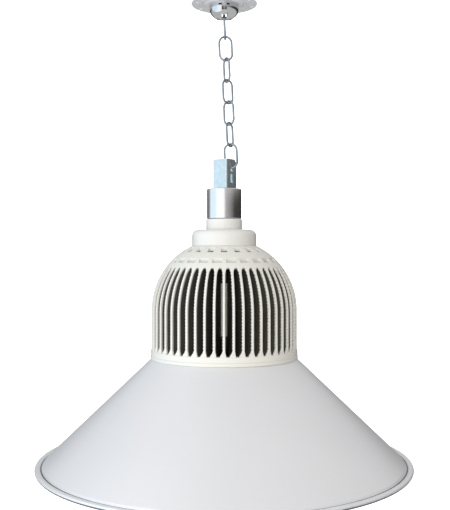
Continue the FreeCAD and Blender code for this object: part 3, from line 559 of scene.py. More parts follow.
def cut(thing: bpy.types.Object, cutters: Sequence[bpy.types.Object]) -> bpy.types.Object:
    """Cut shapes out of an object and delete them.

    Args:
        thing: The object that is cut.
        cutters: The shapes that are taken out of it.

    Returns:
        The cut object.
    """
    for cutter in cutters:
        step = thing.modifiers.new("Cut", "BOOLEAN")
        step.operation = "DIFFERENCE"
        step.solver = "EXACT"
        step.object = cutter
    plain_mesh(thing)
    for cutter in cutters:
        bpy.data.objects.remove(cutter)
    return smoothed(thing)


# ------------------------------------------------------------------ geometry nodes


def new_tree(name: str, inputs: dict[str, tuple[str, object]]) -> bpy.types.NodeTree:
    """A geometry node tree with a geometry output and named inputs.

    Args:
        name: The tree's name.
        inputs: Each input's name, with its socket type and its default, or None.

    Returns:
        The tree, with its Group Input and Group Output nodes.
    """
    tree = bpy.data.node_groups.new(name, "GeometryNodeTree")
    tree.interface.new_socket("Geometry", in_out="OUTPUT", socket_type="NodeSocketGeometry")
    for title, (kind, start) in inputs.items():
        socket = tree.interface.new_socket(title, in_out="INPUT", socket_type=kind)
        if start is not None:
            socket.default_value = start
    tree.nodes.new("NodeGroupInput")
    tree.nodes.new("NodeGroupOutput")
    return tree


def finish_tree(tree: bpy.types.NodeTree, shape: bpy.types.NodeSocket,
                dress: bpy.types.NodeSocket) -> None:
    """Realise the instances of a tree, set their material and send them out.

    Args:
        tree: The tree.
        shape: The geometry that leaves it.
        dress: The material that it gets.
    """
    real = add_node(tree, "GeometryNodeRealizeInstances", Geometry=shape)
    dressed = add_node(tree, "GeometryNodeSetMaterial", Geometry=real.outputs["Geometry"],
                       Material=dress)
    tree.links.new(dressed.outputs["Geometry"], tree.nodes["Group Output"].inputs[0])


def ring_tree() -> bpy.types.NodeTree:
    """The tree that repeats a template evenly round the Z axis."""
    if "Ring of copies" in bpy.data.node_groups:
        return bpy.data.node_groups["Ring of copies"]
    tree = new_tree("Ring of copies", {
        "Template": ("NodeSocketObject", None),
        "Count": ("NodeSocketInt", 4),
        "Circle radius": ("NodeSocketFloat", 0.0),
        "Height": ("NodeSocketFloat", 0.0),
        "First turn": ("NodeSocketFloat", 0.0),
        "Finish": ("NodeSocketMaterial", None),
    })
    given = tree.nodes["Group Input"].outputs
    template = add_node(tree, "GeometryNodeObjectInfo", Object=given["Template"])
    shift = add_node(tree, "ShaderNodeCombineXYZ", X=given["Circle radius"],
                     Z=given["Height"])
    moved = add_node(tree, "GeometryNodeTransform", Geometry=template.outputs["Geometry"],
                     Translation=shift.outputs["Vector"])
    spots = add_node(tree, "GeometryNodeMeshLine", Count=given["Count"], Offset=(0, 0, 0))
    index = add_node(tree, "GeometryNodeInputIndex")
    share = maths(tree, "DIVIDE", index.outputs["Index"], given["Count"])
    angle = maths(tree, "MULTIPLY_ADD", share, 2 * math.pi, given["First turn"])
    turn = add_node(tree, "ShaderNodeCombineXYZ", Z=angle)
    copies = add_node(tree, "GeometryNodeInstanceOnPoints", Points=spots.outputs["Mesh"],
                      Instance=moved.outputs["Geometry"], Rotation=turn.outputs["Vector"])
    finish_tree(tree, copies.outputs["Instances"], given["Finish"])
    return tree


def run_tree(name: str, tree: bpy.types.NodeTree,
             values: dict[str, object]) -> bpy.types.Object:
    """Run a tree on an empty mesh and keep the result as a plain mesh.

    Args:
        name: The new object's name.
        tree: The tree to run.
        values: Input names and their values.

    Returns:
        The object, with no modifier left.
    """
    made = bpy.data.objects.new(name, bpy.data.meshes.new(name))
    bpy.context.scene.collection.objects.link(made)
    step = made.modifiers.new("Make", "NODES")
    step.node_group = tree
    for item in tree.interface.items_tree:
        if item.in_out == "INPUT" and item.name in values:
            step[item.identifier] = values[item.name]
    plain_mesh(made)
    made.data.name = name
    made.data.set_sharp_from_angle(angle=math.radians(CRISP_ANGLE))
    return made


def ring_of(name: str, template: bpy.types.Object, finish: Finish, count: int,
            circle_r: float = 0.0, height: float = 0.0,
            first_turn: float = 0.0) -> bpy.types.Object:
    """Copies of a template round the Z axis, as one mesh.

    Args:
        name: The new object's name.
        template: The shape to repeat; it is deleted.
        finish: The copies' surface.
        count: How many copies.
        circle_r: Radius of their circle, in millimetres.
        height: Their height, in millimetres.
        first_turn: Turn of the first copy, in degrees.

    Returns:
        The joined copies.
    """
    made = run_tree(name, ring_tree(), {
        "Template": template,
        "Count": count,
        "Circle radius": circle_r * MM,
        "Height": height * MM,
        "First turn": math.radians(first_turn),
        "Finish": finish.material(),
    })
    bpy.data.objects.remove(template)
    return made


# Shank radius, head radius and head height of the two sizes of pan-head screw.
LARGE_SCREW = (1.9, 3.4, 2.2)
SMALL_SCREW = (1.4, 2.6, 1.7)


def pan_screw(shank_r: float, head_r: float, head_height: float,
              reach: float, head_up: bool = True) -> bpy.types.Object:
    """One pan-head screw with a cross recess, its seat at the origin.

    Args:
        shank_r: Radius of the shank, in millimetres.
        head_r: Radius of the head.
        head_height: Height of the head.
        reach: Length of the shank.
        head_up: Whether the head points up.

    Returns:
        The screw.
    """
    way = 1 if head_up else -1
    corners = [
        (0.0, -reach), (shank_r - 0.4, -reach), (shank_r, -reach + 0.5), (shank_r, 0.0),
        (head_r, 0.0, 0.2), (head_r, 0.45 * head_height, 0.5 * head_r),
        (0.5 * head_r, head_height, 0.6 * head_r), (0.0, head_height),
    ]
    points = [(radius, way * height) for radius, height in rounded(corners, steps=3)]
    screw = place_mesh("screw", lathe(points, 24), SCREW_STEEL)
    arm = 0.55 * head_r
    slim = 0.13 * head_r
    cross = [(arm, -slim), (arm, slim), (slim, slim), (slim, arm), (-slim, arm),
             (-slim, slim), (-arm, slim), (-arm, -slim), (-slim, -slim), (-slim, -arm),
             (slim, -arm), (slim, -slim)]
    low, high = sorted((way * 0.45 * head_height, way * (head_height + 1)))
    recess = place_mesh("recess", extruded(cross, low, high), SCREW_STEEL)
    return cut(screw, [recess])


# ------------------------------------------------------------------ places from the frame


def box_mm(node: str) -> tuple[Vector, Vector]:
    """A CAD node's lowest and highest corner in millimetres."""
    low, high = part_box(node)
    return low / MM, high / MM


def settle(piece: bpy.types.Object, body: str, slot: str, *nodes: str) -> bpy.types.Object:
    """Put a finished piece on its body in the place of its CAD nodes.

    Args:
        piece: The piece, at the origin.
        body: The body that it rides.
        slot: The record's material slot that it stands for; not used.
        *nodes: The CAD nodes that it replaces, if any.

    Returns:
        The piece.
    """
    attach(piece, body)
    if nodes:
        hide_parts(*nodes)
    log.info("%s rides on %s, %d faces", piece.name, body, len(piece.data.polygons))
    return piece


def dress_node(node: str, finish: Finish) -> None:
    """Give a carried CAD node its finish."""
    data = frame["nodes"][node].data
    data.materials.clear()
    data.materials.append(finish.material())
    log.info("%s dressed as %s", node, finish.name)


# ------------------------------------------------------------------ sub-assemblies


@dataclass
class CeilingMount:
    """Pressed plate, chromed dome, its cross pin and rivets.

    Sizes are in millimetres.
    """

    plate_wall: float = 1.5
    dish_r: float = 21.0
    hole_circle_r: float = 31.3
    hole_r: float = 2.25
    holes: int = 8
    hole_turn: float = 14.0
    bead_r: float = 26.0
    bead_half: float = 0.8
    bead_rise: float = 0.45
    rivet_circle_r: float = 12.0
    rivet_r: float = 1.4
    dome_wall: float = 1.5
    dome_side: float = 3.7
    dome_nose: float = 12.0
    dome_bore_r: float = 7.0
    slot: float = 5.5
    tee: float = 12.0
    tee_height: float = 1.8

    def plate(self) -> bpy.types.Object:
        """The pressed disc: stepped middle, raised bead, rolled rim and eight holes."""
        _, high = box_mm("ceiling_plate")
        edge = high.x
        wall, bead, half = self.plate_wall, self.bead_r, self.bead_half
        upper = [
            (0.0, -wall), (self.dish_r - wall, -wall, 0.8), (self.dish_r, 0.0, 0.8),
            (edge - 0.9, 0.0, 0.4), (edge, -0.45 * wall, 0.4),
        ]
        lower = [
            (edge, -0.8 * wall, 0.4), (edge - 0.6, -wall, 0.4), (bead + 2 * half, -wall, 0.6),
            (bead + half, -wall - self.bead_rise, 0.6),
            (bead - half, -wall - self.bead_rise, 0.6),
            (bead - 2 * half, -wall, 0.6), (self.dish_r + wall, -wall, 0.8),
            (self.dish_r, -2 * wall, 0.8), (0.0, -2 * wall),
        ]
        plate = turned("plate_pressing", upper + lower, ZINC_PLATE)
        drill = pin(self.hole_r, -2, 1, ZINC_PLATE, 32)
        holes = ring_of("holes", drill, ZINC_PLATE, self.holes, self.hole_circle_r,
                        first_turn=self.hole_turn)
        return cut(plate, [holes])

    def dome(self) -> bpy.types.Object:
        """The chromed dome with its slot and cross-shaped opening."""
        low, high = box_mm("ceiling_dome")
        radius, top = high.x, high.z
        side = top - self.dome_side
        inner_r = radius - self.dome_wall
        nose = self.dome_nose - self.dome_wall
        turns = [math.radians(angle) for angle in range(0, 91, 5)]
        outer = [(radius, top)] + [
            (radius * math.cos(turn), side - self.dome_nose * math.sin(turn)) for turn in turns
        ]
        inner = [
            (inner_r * math.cos(turn), side - nose * math.sin(turn)) for turn in turns[::-1]
        ]
        under = top - self.dome_wall
        foot = [(inner_r, under), (self.dome_bore_r, under), (self.dome_bore_r, top)]
        shell = place_mesh("chrome_dome", lathe(outer + inner + foot, 128), CHROME)
        neck = under - self.tee_height
        key = [
            (-self.slot / 2, low.z - 1), (self.slot / 2, low.z - 1), (self.slot / 2, neck),
            (self.tee / 2, neck), (self.tee / 2, neck + self.tee_height),
            (-self.tee / 2, neck + self.tee_height), (-self.tee / 2, neck),
            (-self.slot / 2, neck),
        ]
        cutter = extruded(key, -radius - 2, radius + 2)
        stand = Matrix.Rotation(math.pi / 2, 4, "X")
        bmesh.ops.transform(cutter, matrix=stand, verts=cutter.verts)
        shell = cut(shell, [place_mesh("key", cutter, CHROME)])
        return bevelled(shell, 0.3)

    def rivets(self) -> bpy.types.Object:
        """Four rivets with domed heads on both sides."""
        top = -self.plate_wall
        low = top - self.plate_wall - self.dome_wall
        head_r = 1.8 * self.rivet_r
        head = 0.7 * self.plate_wall
        corners = [
            (0.0, low - head), (0.6 * head_r, low - head, 0.5), (head_r, low, 0.4),
            (self.rivet_r, low), (self.rivet_r, top), (head_r, top, 0.4),
            (0.6 * head_r, top + head, 0.5), (0.0, top + head),
        ]
        rivet = turned("rivet", corners, SCREW_STEEL, 24, 3)
        return ring_of("dome_rivet_set", rivet, SCREW_STEEL, 4, self.rivet_circle_r,
                       first_turn=45.0)

    def build(self) -> None:
        """Make and place every piece of the ceiling mount."""
        settle(self.plate(), "ceiling_mount", "galvanised", "ceiling_plate")
        settle(self.dome(), "ceiling_mount", "chrome_shell", "ceiling_dome")
        settle(self.rivets(), "ceiling_mount", "steel", "dome_rivets")
        dress_node("dome_pin", SCREW_STEEL)


@dataclass
class HangingChain:
    """Seven oval welded links, each on its own body."""

    wire_r: float = 1.2
    width: float = 16.2
    inner: float = 24.0
    turns: tuple[int, ...] = (90, 5, -65, 42, -42, 62, -12)
    weld_swell: float = 0.22
    weld_half: float = 1.3

    def tree(self) -> bpy.types.NodeTree:
        """The tree that draws one link: an oval wire that swells at its weld."""
        tree = new_tree("Welded link", {
            "Width": ("NodeSocketFloat", 0.0),
            "Length": ("NodeSocketFloat", 0.0),
            "Bend radius": ("NodeSocketFloat", 0.0),
            "Wire radius": ("NodeSocketFloat", 0.0),
            "Weld swell": ("NodeSocketFloat", 0.0),
            "Turn": ("NodeSocketVector", None),
            "Place": ("NodeSocketVector", None),
            "Finish": ("NodeSocketMaterial", None),
        })
        given = tree.nodes["Group Input"].outputs
        frame_line = add_node(tree, "GeometryNodeCurvePrimitiveQuadrilateral",
                              Width=given["Width"], Height=given["Length"])
        oval = add_node(tree, "GeometryNodeFilletCurve", {"mode": "POLY"},
                        Curve=frame_line.outputs["Curve"], Count=10,
                        Radius=given["Bend radius"])
        even = add_node(tree, "GeometryNodeResampleCurve", Curve=oval.outputs["Curve"],
                        Count=96)
        spot = add_node(tree, "GeometryNodeInputPosition")
        parts = add_node(tree, "ShaderNodeSeparateXYZ", Vector=spot.outputs["Position"])
        edge = maths(tree, "GREATER_THAN", parts.outputs["X"], 0.0)
        away = maths(tree, "MULTIPLY", parts.outputs["Y"], 1 / (self.weld_half * MM))
        square = maths(tree, "MULTIPLY", away, away)
        fall = maths(tree, "ADD", square, 1.0)
        weld = maths(tree, "DIVIDE", given["Weld swell"], fall)
        here = maths(tree, "MULTIPLY", weld, edge)
        thick = maths(tree, "ADD", here, 1.0)
        wire = add_node(tree, "GeometryNodeSetCurveRadius", Curve=even.outputs["Curve"],
                        Radius=thick)
        section = add_node(tree, "GeometryNodeCurvePrimitiveCircle", Resolution=20,
                           Radius=given["Wire radius"])
        swept = add_node(tree, "GeometryNodeCurveToMesh", Curve=wire.outputs["Curve"],
                         Profile_Curve=section.outputs["Curve"])
        smooth = add_node(tree, "GeometryNodeSetShadeSmooth",
                          Geometry=swept.outputs["Mesh"])
        stood = add_node(tree, "GeometryNodeTransform", Geometry=smooth.outputs["Geometry"],
                         Rotation=(math.pi / 2, 0, 0))
        moved = add_node(tree, "GeometryNodeTransform", Geometry=stood.outputs["Geometry"],
                         Translation=given["Place"], Rotation=given["Turn"])
        finish_tree(tree, moved.outputs["Geometry"], given["Finish"])
        return tree

    def build(self) -> None:
        """Make each link where its CAD node hangs, leaning as the chain does."""
        tree = self.tree()
        hangs = [Vector(joint["pos_m"]) for joint in frame["joints"]]
        lean = math.atan2(hangs[-1].x - hangs[0].x, hangs[0].z - hangs[-1].z)
        for number, turn in enumerate(self.turns, start=1):
            low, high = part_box(f"chain_link_{number}")
            spin = (Matrix.Rotation(-lean, 3, "Y") @ Matrix.Rotation(math.radians(turn), 3, "Z"))
            link = run_tree(f"welded_link_{number}", tree, {
                "Width": (self.width - 2 * self.wire_r) * MM,
                "Length": (self.inner + 2 * self.wire_r) * MM,
                "Bend radius": (self.width / 2 - self.wire_r) * MM,
                "Wire radius": self.wire_r * MM,
                "Weld swell": self.weld_swell,
                "Turn": tuple(spin.to_euler()),
                "Place": tuple((low + high) / 2),
                "Finish": ZINC_WIRE.material(),
            })
            link.data.shade_smooth()
            settle(link, f"link_{number}", "galvanised", f"chain_link_{number}")


@dataclass
class HangingBracket:
    """Folded galvanised channel and its two foot screws."""

    web: float = 20.0
    flange: float = 18.5
    wall: float = 1.6
    turn: float = 55.0
    bend_r: float = 2.4
    bevel: float = 5.0
    hook_hole_r: float = 3.0
    hook_play: float = 0.3
    wire_r: float = 1.2
    hook_height: float = 23.35
    slot_r: float = 2.9
    slot_low: float = 6.4
    slot_straight: float = 5.2
    foot: float = 17.0
    screw_inset: float = 8.0
    screw_pitch: float = 8.2
    screw_reach: float = 12.1

    def place(self) -> Matrix:
        """Where the channel's own corner stands in the frame, in millimetres."""
        hang = Vector(frame["joints"][-1]["pos_m"]) / MM
        spin = Matrix.Rotation(math.radians(self.turn), 4, "Z")
        inward = spin @ Vector((self.web / 2, self.wall / 2, 0))
        base = Vector((hang.x, hang.y, hang.z - self.hook_height)) - inward
        return Matrix.Translation(base) @ spin

    def placed(self, mesh: bmesh.types.BMesh) -> bmesh.types.BMesh:
        """Move a shape drawn at the channel's corner to its place and give it back."""
        bmesh.ops.transform(mesh, matrix=self.place(), verts=mesh.verts)
        return mesh

    def channel(self) -> bpy.types.Object:
        """Web with its hook hole and slot, and two flanges on rounded bends."""
        low, high = box_mm("hanging_bracket")
        tall = high.z - low.z
        wall, web, flange, bend = self.wall, self.web, self.flange, self.bend_r
        inside = bend - wall + 0.6
        section = rounded([
            (0, flange), (0, 0, bend), (web, 0, bend), (web, flange), (web - wall, flange),
            (web - wall, wall, inside), (wall, wall, inside), (wall, flange),
        ], steps=5)
        body = place_mesh("folded_channel", self.placed(extruded(section, 0, tall)),
                          ZINC_STRIP)
        flat = Matrix.Rotation(math.pi / 2, 4, "X")
        cutters = []

        def across(name: str, outline: Sequence[Point]) -> None:
            """Add a cutter along the flanges from an outline in the web's plane."""
            shape = extruded(outline, -flange - 3, 3)
            bmesh.ops.transform(shape, matrix=flat, verts=shape.verts)
            cutters.append(place_mesh(name, self.placed(shape), ZINC_STRIP))

        hole_z = self.hook_height + self.wire_r + self.hook_play - self.hook_hole_r
        middle = web / 2
        across("hook_hole", arc((middle, hole_z), self.hook_hole_r, 0, 345, 23))
        first = self.slot_low + self.slot_r
        last = first + self.slot_straight
        across("slot", arc((middle, first), self.slot_r, 180, 360, 12)
               + arc((middle, last), self.slot_r, 0, 180, 12))
        crown = rounded([
            (web - self.bevel - 1, tall + 1), (web - self.bevel, tall, 2.0),
            (web, tall - self.bevel, 2.0), (web + 1, tall - self.bevel - 1),
            (web + 2, tall + 2),
        ])
        across("crown_corner", crown)
        return bevelled(cut(body, cutters), 0.25)

    def foot_plate(self) -> bpy.types.Object:
        """The foot folded in from the web."""
        wall = self.wall
        edges = rounded([
            (1.5 * wall, wall / 2), (self.web - 1.5 * wall, wall / 2),
            (self.web - 1.5 * wall, self.foot, 2.0), (1.5 * wall, self.foot, 2.0),
        ])
        plate = place_mesh("bracket_foot", self.placed(extruded(edges, 0, wall)), ZINC_STRIP)
        return bevelled(plate, 0.2)

    def screws(self) -> bpy.types.Object:
        """The two foot screws with their cross recesses."""
        middle = self.flange / 2
        pair = []
        for side in (-1, 1):
            screw = pan_screw(*LARGE_SCREW, self.screw_reach)
            spot = Vector((self.screw_inset, middle + side * self.screw_pitch / 2, self.wall))
            screw.data.transform(Matrix.Translation(spot * MM))
            pair.append(screw)
        return place_mesh("foot_screws", self.placed(merged(pair)), SCREW_STEEL)

    def build(self) -> None:
        """Make and place the bracket's pieces."""
        settle(self.channel(), "lamp", "galvanised", "hanging_bracket")
        settle(self.foot_plate(), "lamp", "galvanised")
        settle(self.screws(), "lamp", "steel", "bracket_screws")
        dress_node("holder_spacers", SCREW_STEEL)


@dataclass
class Lampholder:
    """Polished metal shell over a porcelain holder, with a rubber bush at the back."""

    wall: float = 1.2
    bush_drop: float = 4.8
    bush_r: float = 4.2
    bush_hole_r: float = 2.5
    bush_groove: float = 1.0
    bush_head: float = 1.4

    def shell(self) -> bpy.types.Object:
        """The polished cup: rounded top edge and eased foot."""
        low, high = box_mm("holder_shell")
        radius, top, foot = high.x, high.z, low.z
        shell = turned("polished_holder_cup", [
            (0.0, top), (radius, top, 1.2), (radius, foot, 0.5), (radius - self.wall, foot, 0.3),
            (radius - self.wall, top - self.wall, 0.8), (0.0, top - self.wall),
        ], POLISHED_TUBE, steps=4)
        hole = extruded(arc((0, 0), self.bush_r - self.bush_groove, 0, 345, 23), 0, radius + 2)
        lay = Matrix.Translation((0, 0, top - self.bush_drop)) @ Matrix.Rotation(
            -math.pi / 2, 4, "X")
        bmesh.ops.transform(hole, matrix=lay, verts=hole.verts)
        return cut(shell, [place_mesh("entry", hole, POLISHED_TUBE)])

    def bush(self) -> bpy.types.Object:
        """The rubber grommet, waisted where it grips the shell."""
        low, high = box_mm("wire_entry_bush")
        waist = self.bush_r - self.bush_groove
        out = high.y
        head = out - self.bush_head
        outline = rounded([
            (self.bush_hole_r, low.y, 0.3), (waist, low.y, 0.3), (waist, head),
            (self.bush_r, head, 0.4), (self.bush_r, out, 0.6),
            (self.bush_hole_r, out, 0.6),
        ], steps=4)
        ring = lathe(outline, 48)
        middle = (low.z + high.z) / 2
        lay = Matrix.Translation((0, 0, middle)) @ Matrix.Rotation(-math.pi / 2, 4, "X")
        bmesh.ops.transform(ring, matrix=lay, verts=ring.verts)
        return place_mesh("entry_grommet", ring, RUBBER)

    def build(self) -> None:
        """Make the shell and bush and dress the pieces inside."""
        settle(self.shell(), "lamp", "polished_shell", "holder_shell")
        settle(self.bush(), "lamp", "black_rubber", "wire_entry_bush")
        dress_node("holder_insulator", PORCELAIN)
        for node in ("terminal_screws", "holder_contact", "holder_screw_shell",
                     "lamp_cap_button"):
            dress_node(node, BRASS)
        dress_node("lamp_screw_cap", NICKEL)
        dress_node("lamp_cap_insulator", BLACK_GLASS)


@dataclass
class NeckAndCap:
    """White collar under the lampholder and the wide driver cap with its screws."""

    wall: float = 2.2
    bore_r: float = 6.0
    spigot_r: float = 11.4
    collar_height: float = 11.8
    screws: int = 4
    screw_turn: float = 45.0
    screw_circle_r: float = 29.2
    screw_sink: float = 1.9
    screw_reach: float = 21.1
    screw_hole_r: float = 1.6
    head_hole_r: float = 2.75
    post_r: float = 3.4
    corner: float = 3.6

    def collar(self) -> bpy.types.Object:
        """The collar with its eased top edge."""
        low, high = box_mm("neck_collar")
        radius, foot = high.x, low.z
        top = foot + self.collar_height
        return turned("white_neck_collar", [
            (self.bore_r, high.z), (self.spigot_r, high.z, 0.5), (self.spigot_r, top),
            (radius, top, 1.6), (radius, foot), (self.bore_r, foot),
        ], WHITE_PLASTIC)

    def cap(self) -> bpy.types.Object:
        """The driver cap: broad rounded shoulder and open underside."""
        low, high = box_mm("driver_cap")
        radius, top, foot = high.x, high.z, low.z
        cap = turned("driver_cover", [
            (self.bore_r, top), (radius, top, 2.2 * self.corner), (radius, foot, 0.6),
            (radius - self.wall, foot), (radius - self.wall, top - self.wall, self.corner),
            (self.bore_r, top - self.wall),
        ], WHITE_PLASTIC, steps=8)
        seat = -self.screw_sink
        drill = place_mesh("drill", lathe([
            (0, -3), (self.screw_hole_r, -3), (self.screw_hole_r, seat),
            (self.head_hole_r, seat), (self.head_hole_r, 1), (0, 1),
        ], 24), WHITE_PLASTIC)
        holes = self.screw_ring("holes", drill, WHITE_PLASTIC, top)
        post = pin(self.post_r, foot, top - self.wall / 2, WHITE_PLASTIC, 32)
        posts = self.screw_ring("posts", post, WHITE_PLASTIC, 0.0)
        whole = place_mesh("white_driver_cap", merged([cap, posts]), WHITE_PLASTIC)
        return cut(whole, [holes])

    def screw_ring(self, name: str, template: bpy.types.Object, finish: Finish,
                   height: float) -> bpy.types.Object:
        """Repeat a shape at each of the cap's screws.

        Args:
            name: The new object's name.
            template: The shape to repeat; it is deleted.
            finish: The copies' surface.
            height: Their height, in millimetres.

        Returns:
            The joined copies.
        """
        return ring_of(name, template, finish, self.screws, self.screw_circle_r, height,
                       self.screw_turn)

    def build(self) -> None:
        """Make and place collar, cap and their screws."""
        _, high = box_mm("driver_cap")
        settle(self.collar(), "lamp", "white_plastic", "neck_collar")
        settle(self.cap(), "lamp", "white_paint", "driver_cap")
        screws = self.screw_ring("cap_screw_set", pan_screw(*SMALL_SCREW, self.screw_reach),
                                 SCREW_STEEL, high.z - self.screw_sink)
        settle(screws, "lamp", "steel", "cap_screws")
        dress_node("collar_screws", SCREW_STEEL)


@dataclass(frozen=True)
class SlotRing:
    """A ring of slots through the crown, in millimetres and degrees."""

    circle_r: float
    length: float
    width: float
    count: int
    turn: float


@dataclass
class FinnedHeatsink:
    """The bell-shaped casting: slotted crown, ribbed fins, core and foot ring."""

    fins: int = 50
    fin_half: float = 0.95
    edge_half: float = 1.2
    painted: float = 2.2
    ripple: float = 3.4
    tooth: float = 0.75
    foot_share: float = 0.95
    foot_back: float = 0.3
    crown_r: float = 78.5
    crown_wall: float = 3.5
    side_r: float = 80.3
    top_r: float = 36.3
    crown_drop: float = 23.0
    core_r: float = 31.0
    chamber_r: float = 27.5
    base_wall: float = 6.5
    ring_height: float = 10.0
    rim_r: float = 61.5
    rim_wall: float = 4.2
    arch: float = 8.0
    foot: float = 5.5
    band_proud: float = 3.0
    band_low: float = -366.0
    band_high: float = -309.0
    crown_lap: float = 6.0
    crown_collar: float = 3.0
    core_fall: float = 6.0
    fin_lap: float = 2.2
    flare_share: float = 0.985
    rim_drop: float = 6.0
    ledge_r: float = 74.0
    wire_hole_r: float = 4.0
    slot_corner: float = 0.8
    slots: tuple[SlotRing, ...] = (
        SlotRing(43.8, 7.6, 6.6, 20, -90.0), SlotRing(57.6, 4.6, 10.2, 25, -82.8))
    low: Vector = field(default_factory=lambda: box_mm("heatsink")[0])
    high: Vector = field(default_factory=lambda: box_mm("heatsink")[1])

    @property
    def centre_r(self) -> float:
        """Radius at which the crown's arc is centred."""
        return self.side_r - self.crown_r

    @property
    def centre_z(self) -> float:
        """Height at which the crown's arc is centred and the sides turn upright."""
        return self.high.z - math.sqrt(self.crown_r ** 2 - (self.top_r - self.centre_r) ** 2)

    @property
    def base_low(self) -> float:
        """Height of the foot ring's underside."""
        return self.low.z + self.rim_drop

    def envelope(self, height: float) -> float:
        """Outer radius of crown and fins at a height.

        Args:
            height: The height, in millimetres.

        Returns:
            The radius.
        """
        rise = height - self.centre_z
        if rise <= 0:
            return self.side_r
        return self.centre_r + math.sqrt(self.crown_r ** 2 - rise ** 2)

    def arc_at(self, radius: float, size: float) -> float:
        """Height of one of the crown's arcs at a radius, given the arc's own radius."""
        return self.centre_z + math.sqrt(size ** 2 - (radius - self.centre_r) ** 2)

    def crown(self) -> bpy.types.Object:
        """The slotted crown over the fins."""
        inner = self.crown_r - self.crown_wall
        lip_z = self.high.z - self.crown_drop
        lip_angle = math.asin((lip_z - self.centre_z) / self.crown_r)
        top_angle = math.acos((self.top_r - self.centre_r) / self.crown_r)
        centre = (self.centre_r, self.centre_z)
        degrees = math.degrees
        outer_line = arc(centre, self.crown_r, degrees(top_angle), degrees(lip_angle), 22)
        under_r = self.core_r + self.crown_lap
        under = self.arc_at(under_r, inner)
        under_angle = math.acos((under_r - self.centre_r) / inner)
        inner_line = arc(centre, inner, degrees(lip_angle) + 0.4, degrees(under_angle), 18)
        collar = under - self.crown_collar
        points = ([(self.chamber_r, self.high.z)] + outer_line + inner_line
                  + [(self.core_r, collar), (self.chamber_r, collar)])
        crown = place_mesh("crown", lathe(points, 200), POWDER_COAT)
        cutters = []
        for slots in self.slots:
            near, far = (slots.circle_r + way * slots.length / 2 for way in (-1, 1))
            half, corner = slots.width / 2, self.slot_corner
            outline = rounded([(near, -half, corner), (far, -half, corner),
                               (far, half, corner), (near, half, corner)], steps=3)
            shape = place_mesh("slot", extruded(outline, lip_z - 4, self.high.z + 1),
                               POWDER_COAT)
            cutters.append(ring_of("slots", shape, POWDER_COAT, slots.count,
                                   first_turn=slots.turn))
        return bevelled(cut(crown, cutters), 0.45, 2, 50.0)

    def arch_flare(self, height: float) -> float:
        """How far a fin spreads towards its neighbours under the crown.

        Args:
            height: The height, in millimetres.

        Returns:
            From 0 for its own thickness to 1 where the fins meet.
        """
        below = self.high.z - self.crown_drop - height
        reach = min(max(below, 0.0) / self.arch, 1.0)
        return 1 - math.sqrt(max(1 - (1 - reach) ** 2, 0.0))

    def foot_flare(self, height: float, share: float) -> float:
        """How far a fin's sloped foot spreads at a height.

        Args:
            height: The height, in millimetres.
            share: The spread at the very foot.

        Returns:
            From 0 to the share.
        """
        lift = height - (self.base_low + self.ring_height)
        return share * max(1 - max(lift, 0.0) / self.foot, 0.0)

    def fin(self, name: str, finish: Finish, half: float, depth: float,
            line: Callable[[float], list[tuple[float, float]]]) -> bpy.types.Object:
        """Part of one fin, pointing along X.

        Args:
            name: The part's name.
            finish: Its surface.
            half: Half its thickness.
            depth: How deep the ripples on its sides are.
            line: Gives, for the fin's outer radius, the part's radii and the share of
                the thickness that it has at each.

        Returns:
            The closed part.
        """
        top = self.high.z - self.crown_drop + self.fin_lap
        foot = self.base_low + self.base_wall - 0.5
        rows = int((top - foot) / (self.ripple / 4))
        share = math.pi / self.fins * self.flare_share
        mesh = bmesh.new()
        rings = []
        for row in range(rows + 1):
            height = top - (top - foot) * row / rows
            phase = (row % 4) / 4
            wave = 1 - abs(2 * phase - 1)
            arch = self.arch_flare(height)
            spots = line(self.envelope(height) - 0.05)
            ring = []
            for radius, part in spots:
                body = (half + depth * wave) * part
                spread = max(arch, self.foot_flare(height, self.foot_share))
                wide = body + (share * radius - body) * spread
                ring.append(mesh.verts.new((radius, -wide, height)))
            for radius, part in spots[::-1]:
                body = half * part
                spread = max(arch, self.foot_flare(height, self.foot_back))
                wide = body + (share * radius - body) * spread
                ring.append(mesh.verts.new((radius, wide, height)))
            rings.append(ring)
        for upper, lower in zip(rings, rings[1:]):
            for number in range(len(upper)):
                after = (number + 1) % len(upper)
                mesh.faces.new((upper[number], upper[after], lower[after], lower[number]))
        mesh.faces.new(rings[0])
        mesh.faces.new(rings[-1][::-1])
        bmesh.ops.recalc_face_normals(mesh, faces=mesh.faces)
        return place_mesh(name, mesh, finish, 50.0)

    def web(self) -> bpy.types.Object:
        """The deep part of a fin, bare casting darkened with painted shade."""
        inner = self.core_r - 0.5
        depth = self.painted
        return self.fin("fin_web", CAST_GREY_WITH_PAINTED_SHADE, self.fin_half, 0.15, lambda outer: [
            (inner, 1.0), (outer - depth, 1.0)])

    def edge(self) -> bpy.types.Object:
        """The painted outer edge of a fin, with its fine teeth."""
        depth = self.painted
        return self.fin("fin_edge", POWDER_COAT, self.edge_half, self.tooth, lambda outer: [
            (outer - depth - 0.1, 0.85), (outer - 0.55 * depth, 1.0), (outer - 0.3, 0.85),
            (outer, 0.4)])

    def foot_ring(self) -> bpy.types.Object:
        """Foot ring, base plate and lens rim under the fins."""
        edge = self.high.x
        low = self.base_low
        top = low + self.ring_height
        return turned("casting_foot", [
            (self.wire_hole_r, low + self.base_wall), (self.ledge_r, low + self.base_wall),
            (self.ledge_r, top),
            (edge - 0.3, top, 1.2), (edge - 0.3, low + 4.4, 0.3), (edge - 0.9, low + 4.0, 0.2),
            (edge, low + 3.4, 0.3), (edge, low, 1.0), (self.rim_r, low),
            (self.rim_r, self.low.z), (self.rim_r - self.rim_wall, self.low.z),
            (self.rim_r - self.rim_wall, low), (self.wire_hole_r, low),
        ], POWDER_COAT, 200)

